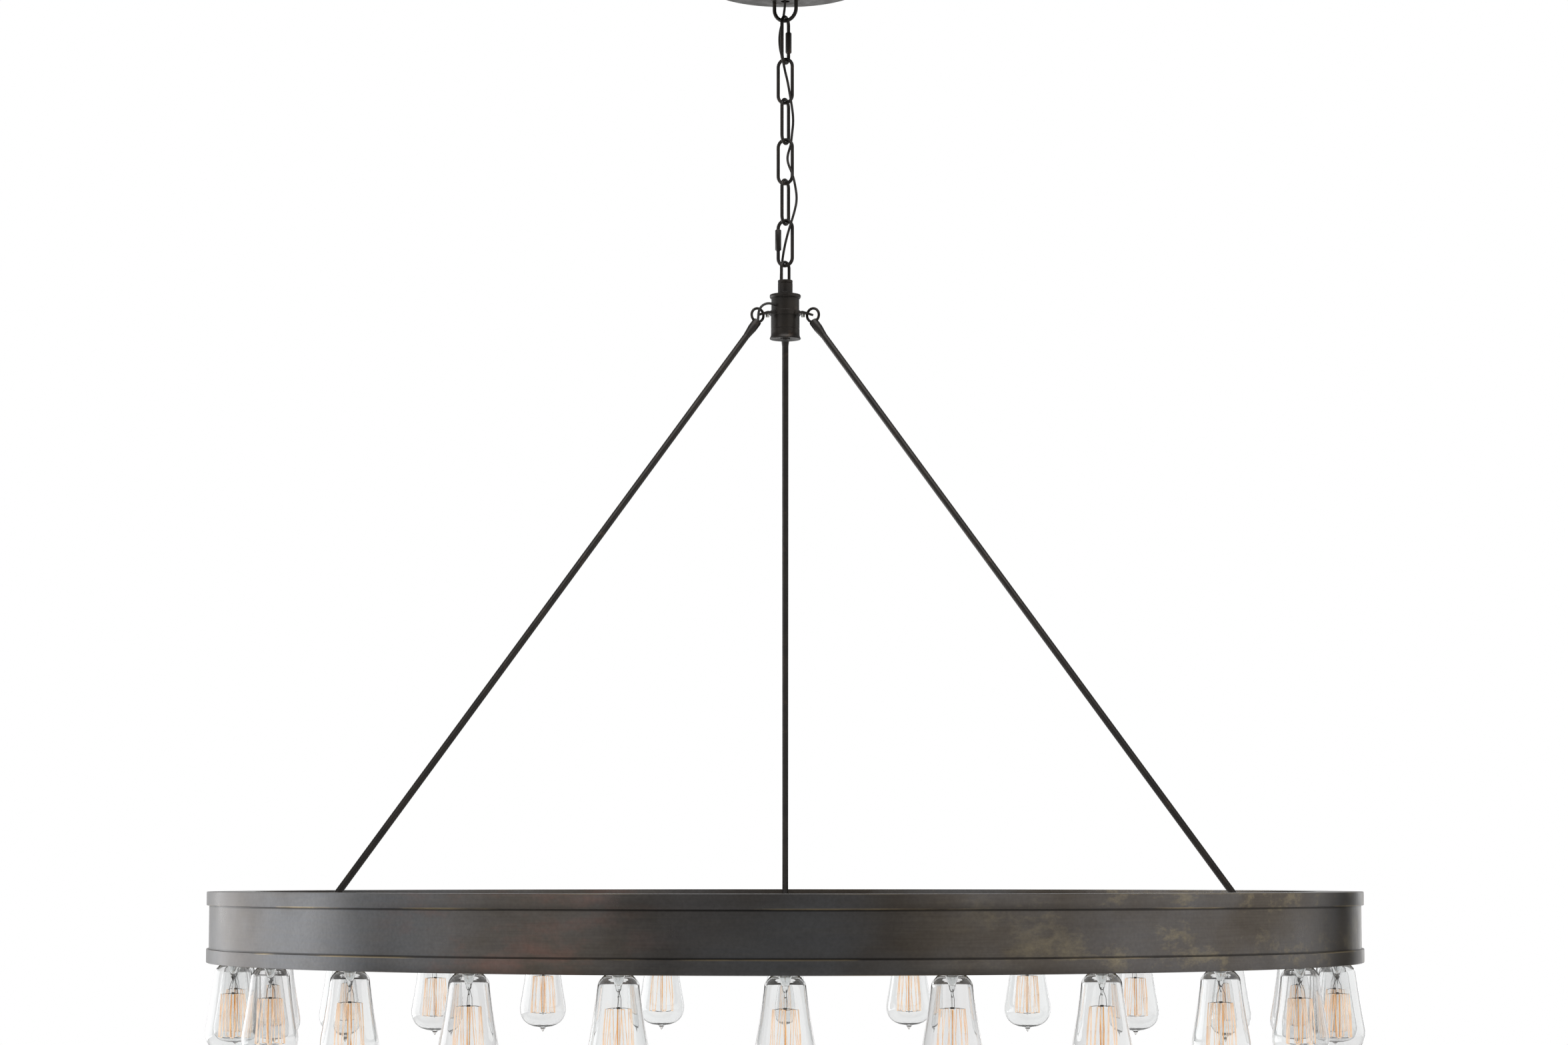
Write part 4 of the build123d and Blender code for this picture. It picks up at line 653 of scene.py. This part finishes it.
# Bulb glass: neck, sloping sides, a wide belly and a pip. Heights are from the ring's underside
B = RING_BOTTOM
outside = [(12.35, 5.5), (12.35, 1.6), (13.2, 0.6), (15.6, -1.6), (18.4, -4.6), (20.3, -7.4), (21.3, -10.6)]
outside += [(22.3, -18.0), (24.2, -32.0), (26.6, -48.0), (29.0, -62.0)]
outside += [(30.8, -72.0), (31.4, -78.0), (30.9, -84.0)]
outside += [(28.6, -90.4), (24.6, -95.8), (19.0, -99.9), (12.0, -102.5)]
outside += [(6.0, -103.5), (3.3, -105.0), (1.6, -108.2), (0.0, -110.0)]
inside = [(0.0, -101.9), (6.0, -101.7), (11.8, -101.0), (18.4, -98.8)]
inside += [(23.9, -94.9), (27.8, -89.8), (30.0, -83.8), (30.5, -78.0)]
inside += [(29.9, -72.2), (28.1, -62.2), (25.7, -48.2), (23.3, -32.2)]
inside += [(21.4, -18.2), (20.4, -10.9), (19.5, -8.0), (17.8, -5.4)]
inside += [(15.1, -2.5), (12.2, -0.2), (11.3, 1.2), (11.3, 4.5), (0.0, 4.5)]
outside = smooth_profile(outside, 3)
inside = smooth_profile(inside[:-2], 3) + inside[-2:]
shell = [(0.0, 5.5)] + outside + inside
shell = [(max(r, 0.0), z + B) for r, z in shell]
points, faces = lathe_mesh(shell, 44)
glass_one = crease(new_object("bulb_glass_one", points, faces, GLASS), 60)
glass = circle_of("bulb_glass_blown", glass_one, BULB_COUNT, BULB_CIRCLE_R, GLASS)
ride(glass, "ring", "bulb_glass", "bulb_glass")

stem = [(0.0, -11.6), (2.0, -10.4), (3.3, -7.8), (4.9, -4.0), (6.7, 0.8)]
stem += [(7.7, 4.4), (8.4, 4.4), (7.4, 0.0), (5.6, -5.0)]
stem += [(4.0, -9.5), (3.0, -13.0), (2.7, -15.4), (1.9, -16.8), (1.15, -18.0), (1.05, -24.0), (1.05, -84.0)]
stem += [(1.7, -85.2), (1.4, -86.4), (0.0, -86.8)]
points, faces = lathe_mesh([(r, z + B) for r, z in stem], 20)
stem_one = crease(new_object("bulb_stem_one", points, faces, STEM_GLASS), 60)
stems = circle_of("bulb_stem_glass", stem_one, BULB_COUNT, BULB_CIRCLE_R, STEM_GLASS)
ride(stems, "ring", "stem_glass", "bulb_stems")

# Filament: a cage of strands that run down and up between an upper and a lower star of supports
STRANDS = 14
TOP_LEVEL, LOW_LEVEL = B - 35.0, B - 84.0
TOP_R, LOW_R = 13.3, 16.3


def polar(radius, turn, level):
    """A point of the cage: turn counts the strands."""
    a = 2 * math.pi * turn / STRANDS
    return Vector((radius * math.cos(a), radius * math.sin(a), level))


thread, support_parts = [], []
for k in range(STRANDS):
    side = 1 if k % 2 == 0 else -1
    bow = 0.4 + 0.6 * math.sin(2.3 * k)
    ends = [polar(TOP_R, k - 0.24 * side, TOP_LEVEL)]
    ends.append(polar((TOP_R + LOW_R) / 2 + bow, k, (TOP_LEVEL + LOW_LEVEL) / 2))
    ends.append(polar(LOW_R, k + (0.2 + 0.08 * math.sin(4.1 * k)) * side, LOW_LEVEL))
    level, radius = (LOW_LEVEL, LOW_R) if k % 2 == 0 else (TOP_LEVEL, TOP_R)
    thread += ends if k % 2 == 0 else ends[::-1]
    hook = polar(radius, k + 0.5, level)
    hub_level = level + (1.0 if k % 2 else -1.0)
    arm = [(0, 0, hub_level), polar(radius * 0.55, k + 0.5, hub_level), hook]
    support_parts.append(tube_mesh(arm, 0.2, 5))
filament_parts = [tube_mesh([a, b], 0.5, 6) for a, b in zip(thread, thread[1:] + thread[:1])]
points, faces = join(filament_parts)
filament_one = new_object("bulb_filament_one", points, faces, FILAMENT)
filaments = circle_of("bulb_filament_threads", filament_one, BULB_COUNT, BULB_CIRCLE_R, FILAMENT, 11, 0.4)
ride(filaments, "ring", "filament_wire", "bulb_filaments")
core_parts = []
for side in (1, -1):
    leg = [(2.0 * side, 0, TOP_LEVEL), (2.6 * side, 0, B - 60.0), (2.0 * side, 0, LOW_LEVEL)]
    core_parts.append(tube_mesh(leg, 0.6, 6))
points, faces = join(core_parts)
core_one = new_object("bulb_core_one", points, faces, CORE)
cores = circle_of("bulb_filament_cores", core_one, BULB_COUNT, BULB_CIRCLE_R, CORE, 11, 0.4)
ride(cores, "ring", "filament_wire")
for side in (1, -1):
    lead_in = [(1.0 * side, 0.6, B - 14.5), (1.6 * side, 0.9, B - 19.0)]
    lead_in += [(4.4 * side, 1.4, B - 25.5), (5.4 * side, 1.0, TOP_LEVEL)]
    support_parts.append(tube_mesh(lead_in, 0.28, 6))
bead = [(0, TOP_LEVEL + 2.0), (1.9, TOP_LEVEL + 2.0), (1.9, TOP_LEVEL), (0, TOP_LEVEL)]
support_parts.append(lathe_mesh(bead, 12))
points, faces = join(support_parts)
support_one = new_object("bulb_support_one", points, faces, SUPPORT)
supports = circle_of("bulb_support_wires", support_one, BULB_COUNT, BULB_CIRCLE_R, SUPPORT, 11, 0.4)
ride(supports, "ring", "filament_wire")

# Screw caps with a rolled thread, and the sockets round them
cap = [(0.0, 5.6), (12.4, 5.6), (12.4, 1.6), (13.2, 1.6)]
for k in range(6):
    z = 4.0 + 3.2 * k
    cap += [(13.2, z), (12.5, z + 0.8), (12.5, z + 1.4), (13.2, z + 2.2)]
cap += [(13.0, 24.5), (4.8, 27.4), (0.0, 27.4)]
points, faces = lathe_mesh([(r, z + B) for r, z in cap], 32)
cap_one = crease(new_object("bulb_cap_one", points, faces, BRASS), 30)
caps = circle_of("bulb_cap_shells", cap_one, BULB_COUNT, BULB_CIRCLE_R, BRASS)
ride(caps, "ring", "cap_brass", "bulb_caps")
socket = [(13.6, 33.4), (0.0, 33.4), (0.0, 37.4), (20.6, 37.4)]
socket += [(21.4, 36.6), (21.4, 1.6), (19.6, 1.6), (19.6, 6.0)]
socket += [(13.6, 6.0), (13.6, 33.4)]
points, faces = lathe_mesh([(r, z + B) for r, z in socket], 36)
socket_one = crease(new_object("lamp_socket_one", points, faces, PORCELAIN), 30)
sockets = circle_of("lamp_socket_shells", socket_one, BULB_COUNT, BULB_CIRCLE_R, PORCELAIN)
ride(sockets, "ring", "socket_porcelain", "lamp_sockets")


# Lamp cord: one route, cut into a piece for each joint that it crosses

def woven(across, depth, height):
    """A point beside the chain, from the canopy loop's plane."""
    return upright(CHAIN_TURN, across, height, depth)


cord_route = [
    Vector((0, 0, -10)), Vector((0, 0.2, -27)), woven(-1.6, 2.6, -41), woven(-5.4, 5.6, -56),
    woven(-9.3, 3.0, -74), woven(-9.0, 2.8, -92), woven(-5.6, 5.4, -107.5), woven(-2.2, 4.0, -121.5),
    woven(3.4, -0.8, -135),
    woven(8.2, -6.0, -149), woven(10.6, -4.8, -164.5), woven(10.8, 1.0, -184), woven(6.2, 5.6, -202),
    woven(5.3, 5.0, -213.5), woven(2.7, 3.4, -222.5), woven(3.1, -0.8, -230.5), woven(6.6, -5.6, -239.5),
    woven(12.2, -6.2, -251), woven(15.4, -4.6, -265), woven(16.8, -1.8, -283), woven(14.4, -4.6, -299),
    woven(9.8, -6.0, -314), woven(3.6, -3.0, -328), woven(-2.2, 1.8, -341), woven(-6.6, 5.8, -354.5),
    woven(-6.9, 4.4, -364.5), Vector((-5.5, 1.9, -373.5)), Vector((-5.5, 1.9, -408.35)),
]


def smooth_line(name, route):
    """Points along the NURBS spline that has the route's points as its control points."""
    curve = bpy.data.curves.new(name, "CURVE")
    curve.dimensions = "3D"
    curve.resolution_u = 9
    spline = curve.splines.new("NURBS")
    spline.points.add(len(route) - 1)
    for point, place in zip(spline.points, route):
        point.co = (*(place * MM), 1.0)
    spline.order_u = 3
    spline.use_endpoint_u = True
    carrier = bpy.data.objects.new(name, curve)
    bpy.context.scene.collection.objects.link(carrier)
    bpy.context.view_layer.update()
    mesh = bpy.data.meshes.new_from_object(carrier.evaluated_get(bpy.context.evaluated_depsgraph_get()))
    line = [point.co / MM for point in mesh.vertices]
    bpy.data.objects.remove(carrier)
    bpy.data.curves.remove(curve)
    bpy.data.meshes.remove(mesh)
    return line


cord_line = smooth_line("lamp_cord_route", cord_route)
print("cord length", round(sum((b - a).length for a, b in zip(cord_line, cord_line[1:])), 1), "mm")
CORD_CUTS = [-86.0, -137.0, -187.0, -237.0, -287.0, -337.0]
CHAIN_BODIES = ["ceiling_mount", "top_quick_link", "link_1", "link_2", "link_3", "link_4"]
CHAIN_BODIES += ["bottom_quick_link", "hub"]
points, faces = tube_mesh(cord_line, 1.5, 14)
rings = [points[i * 14:(i + 1) * 14] for i in range(len(cord_line))]
edges = [0] + [next(i for i, p in enumerate(cord_line) if p.z < cut) for cut in CORD_CUTS]
edges.append(len(cord_line) - 1)
for k, (first, last) in enumerate(zip(edges, edges[1:])):
    part = [p for ring in rings[first:last + 1] for p in ring]
    part_faces = []
    for i in range(last - first):
        for s in range(14):
            n = (s + 1) % 14
            part_faces.append((i * 14 + s, i * 14 + n, (i + 1) * 14 + n, (i + 1) * 14 + s))
    piece = new_object(f"lamp_cord_run_{k + 1}", part, part_faces, CORD)
    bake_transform(piece)
    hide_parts("lamp_cord")


LEAD_LEVEL = -414.0


def beside_rod(radius, aside, height):
    """A point outwards along the left rod's azimuth, towards the viewer and up."""
    return upright(math.radians(ROD_AZIMUTHS["left"]), radius, height, aside)


def beside_eye(along, above, aside):
    """A point by the left rod's upper ferrule: along the rod, above it and towards the viewer."""
    way = rod_way
    over = Vector((-way.z, 0.0, way.x))
    point = HOLE + way * along + over * above
    return beside_rod(point.x, aside, point.z)


lead_route = [
    beside_rod(5.0, -1.2, LEAD_LEVEL), beside_rod(13.0, 3.6, LEAD_LEVEL),
    beside_rod(21.0, 7.2, LEAD_LEVEL + 1.2), beside_rod(29.0, 8.0, LEAD_LEVEL + 1.6),
    beside_rod(36.6, 7.6, LEAD_LEVEL - 1.6),
    beside_rod(40.6, 6.2, LEAD_LEVEL - 8.2), beside_eye(9.35, 4.0, 4.0), beside_eye(15.35, 0.0, 3.6),
]
points, faces = tube_mesh(smooth_line("rod_lead_route", lead_route), 1.5, 16)
lead = new_object("rod_lead_wire", points, faces, LEAD)
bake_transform(lead)
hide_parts("rod_lead")


# Finishes of the CAD nodes that are shown as they are

CAD_FINISHES = {
    ZINC: ["crossbar", "nipple", "nipple_nut", "plate_posts", "tab_screws"],
    BRONZE: ["hub_tab_plate", "hub_stud", "hub_nut"],
    PATINA: [
        "ring_inner_wall", "ring_top_cover", "ring_socket_plate", "ring_lugs", "lug_rivets", "plate_screws",
    ],
    LEAD: ["cord_splice", "ring_wiring"],
}
for material, names in CAD_FINISHES.items():
    for name in names:
        nodes_of_cad[name].data.materials.clear()
        nodes_of_cad[name].data.materials.append(material)


# Stage, light and camera

FADE = (1.0, 5.5)  # metres from the axis between which the floor runs into white
EVENED = 0.62  # how much of its light and shade is evened out near the axis

def stage_plane(name, centre, size, code):
    """A plain pale surface of the studio."""
    half = size / 2
    mesh = bpy.data.meshes.new(name)
    corners = [(-half, -half, 0), (half, -half, 0), (half, half, 0), (-half, half, 0)]
    mesh.from_pydata([Vector(c) + Vector(centre) for c in corners], [], [(0, 1, 2, 3)])
    material, tree, shader = finish(name + " paint", Roughness=0.9)
    # Its tone is evened out where the camera sees it, also through glass, and runs into the white backdrop
    place = add(tree, "ShaderNodeTexCoord").outputs["Object"]
    flat = add(tree, "ShaderNodeVectorMath", (0, place), (1, (1, 1, 0)), operation="MULTIPLY")
    away = add(tree, "ShaderNodeVectorMath", (0, flat), operation="LENGTH")
    path = add(tree, "ShaderNodeLightPath")
    views = ((0, path.outputs["Is Camera Ray"]), (1, path.outputs["Is Transmission Ray"]))
    seen = add(tree, "ShaderNodeMath", *views, operation="MAXIMUM")
    reach = (("From Min", FADE[0]), ("From Max", FADE[1]), ("To Min", EVENED), ("To Max", 1.0))
    fade = add(tree, "ShaderNodeMapRange", ("Value", away.outputs["Value"]), *reach)
    even = add(tree, "ShaderNodeMath", (0, seen), (1, fade), operation="MULTIPLY")
    paint = two_tone(tree, 2.0, 2, code, "f4f4f3", 0.4, 0.6)
    colour = add(tree, "ShaderNodeMix", (0, even), (6, paint), (7, srgb("000000")), data_type="RGBA")
    tree.links.new(colour.outputs[2], shader.inputs["Base Color"])
    half_even = add(tree, "ShaderNodeMath", (0, even), (1, 0.5), operation="MULTIPLY")
    sheen = add(tree, "ShaderNodeMath", (0, 0.5), (1, half_even), operation="SUBTRACT")
    tree.links.new(sheen.outputs[0], shader.inputs["Specular IOR Level"])
    shader.inputs["Emission Color"].default_value = (1, 1, 1, 1)
    tree.links.new(even.outputs[0], shader.inputs["Emission Strength"])
    mesh.materials.append(material)
    made = bpy.data.objects.new(name, mesh)
    bpy.context.scene.collection.objects.link(made)
    made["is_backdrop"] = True
    return made


stage_plane("studio_floor", (0, 0, -2.5), 14.0, "f1f1f0")


def area(name, place, target, size, power, colour="ffffff"):
    """A soft studio light that points at the target."""
    light = bpy.data.lights.new(name, "AREA")
    light.shape = "RECTANGLE"
    light.size, light.size_y = size
    light.energy = power
    light.color = srgb(colour)[:3]
    made = bpy.data.objects.new(name, light)
    made.location = place
    made.rotation_euler = (Vector(target) - Vector(place)).to_track_quat("-Z", "Y").to_euler()
    # Seen through glass the backdrop stays white, with no bright panel in it
    made.visible_camera = False
    made.visible_transmission = False
    bpy.context.scene.collection.objects.link(made)
    made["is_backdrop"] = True
    return made


area("left_softbox", (-2.885, 1.333, -1.1), (-0.394, 0.587, -1.15), (3.4, 1.8), 66, "f9fafc")
area("left_front_softbox", (-3.0, -2.4, -0.6), (-0.3, -0.4, -0.9), (3.2, 2.4), 26)
area("right_softbox", (3.4, -0.2, -0.8), (0.5, 0, -1.0), (4.6, 2.2), 39, "fbf9f6")
area("right_front_softbox", (2.7, -3.5, -0.6), (0.2, -0.5, -1.0), (2.2, 2.2), 17)
area("top_softbox", (0, -1.2, 1.9), (0, 0, -0.8), (3.0, 2.0), 80)
area("right_rim", (2.1, 3.4, -1.1), (0.67, -0.15, -1.15), (0.45, 1.6), 5)

# White where the picture's background is, also in glass and behind the object in metal, and grey elsewhere
BACKDROP_EDGES = (0.87, 0.93)
FLAG_WAY = (0.56, 0.828, 0.0)
FLAG_EDGES = (0.965, 0.99)
STUDIO_STRENGTH = 0.55
CAMERA_TILT = 0.0775  # radians upwards
world = bpy.data.worlds.new("studio")
bpy.context.scene.world = world
world.use_nodes = True
tree = world.node_tree
tree.nodes.clear()


path = add(tree, "ShaderNodeLightPath")
way = add(tree, "ShaderNodeTexCoord").outputs["Generated"]
direction = add(tree, "ShaderNodeSeparateXYZ", (0, way))
reach = (("From Min", BACKDROP_EDGES[0]), ("From Max", BACKDROP_EDGES[1]))
behind = add(tree, "ShaderNodeMapRange", ("Value", direction.outputs["Y"]), *reach)
glossy = path.outputs["Is Glossy Ray"]
mirrored = add(tree, "ShaderNodeMath", (0, glossy), (1, behind), operation="MULTIPLY")
views = ((0, path.outputs["Is Camera Ray"]), (1, path.outputs["Is Transmission Ray"]))
through = add(tree, "ShaderNodeMath", *views, operation="MAXIMUM")
seen = add(tree, "ShaderNodeMath", (0, through), (1, mirrored), operation="MAXIMUM")
reach = (("From Min", -0.5), ("From Max", 0.6))
height = add(tree, "ShaderNodeMapRange", ("Value", direction.outputs["Z"]), *reach)
tone = add(tree, "ShaderNodeMix", (0, height), (6, srgb("c0c0be")), (7, srgb("e2e2e2")), data_type="RGBA")
# A black flag behind the object's right end keeps a dark line beside the backdrop's reflection there
flag = add(tree, "ShaderNodeVectorMath", (0, way), (1, FLAG_WAY), operation="DOT_PRODUCT")
reach = (("From Min", FLAG_EDGES[0]), ("From Max", FLAG_EDGES[1]))
reach += (("To Min", STUDIO_STRENGTH), ("To Max", 0.0))
strength = add(tree, "ShaderNodeMapRange", ("Value", flag.outputs["Value"]), *reach)
around = add(tree, "ShaderNodeBackground", ("Color", tone), ("Strength", strength))
white = add(tree, "ShaderNodeBackground", ("Color", srgb("ffffff")), ("Strength", 1.0))
chosen = add(tree, "ShaderNodeMixShader", (0, seen), (1, around), (2, white))
add(tree, "ShaderNodeOutputWorld", (0, chosen))

scene = bpy.context.scene
scene.view_settings.view_transform = "Standard"
camera = bpy.data.cameras.new("camera")
camera.sensor_width = 36.0
camera.lens = 81.58  # mm
camera.shift_x = -0.0008
camera.shift_y = 0.05
camera.clip_end = 50.0
eye = bpy.data.objects.new("camera", camera)
eye.location = (0, -4.283, -1.1052)
eye.rotation_euler = (math.pi / 2 + CAMERA_TILT, 0, 0)
scene.collection.objects.link(eye)
scene.camera = eye

low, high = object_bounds()
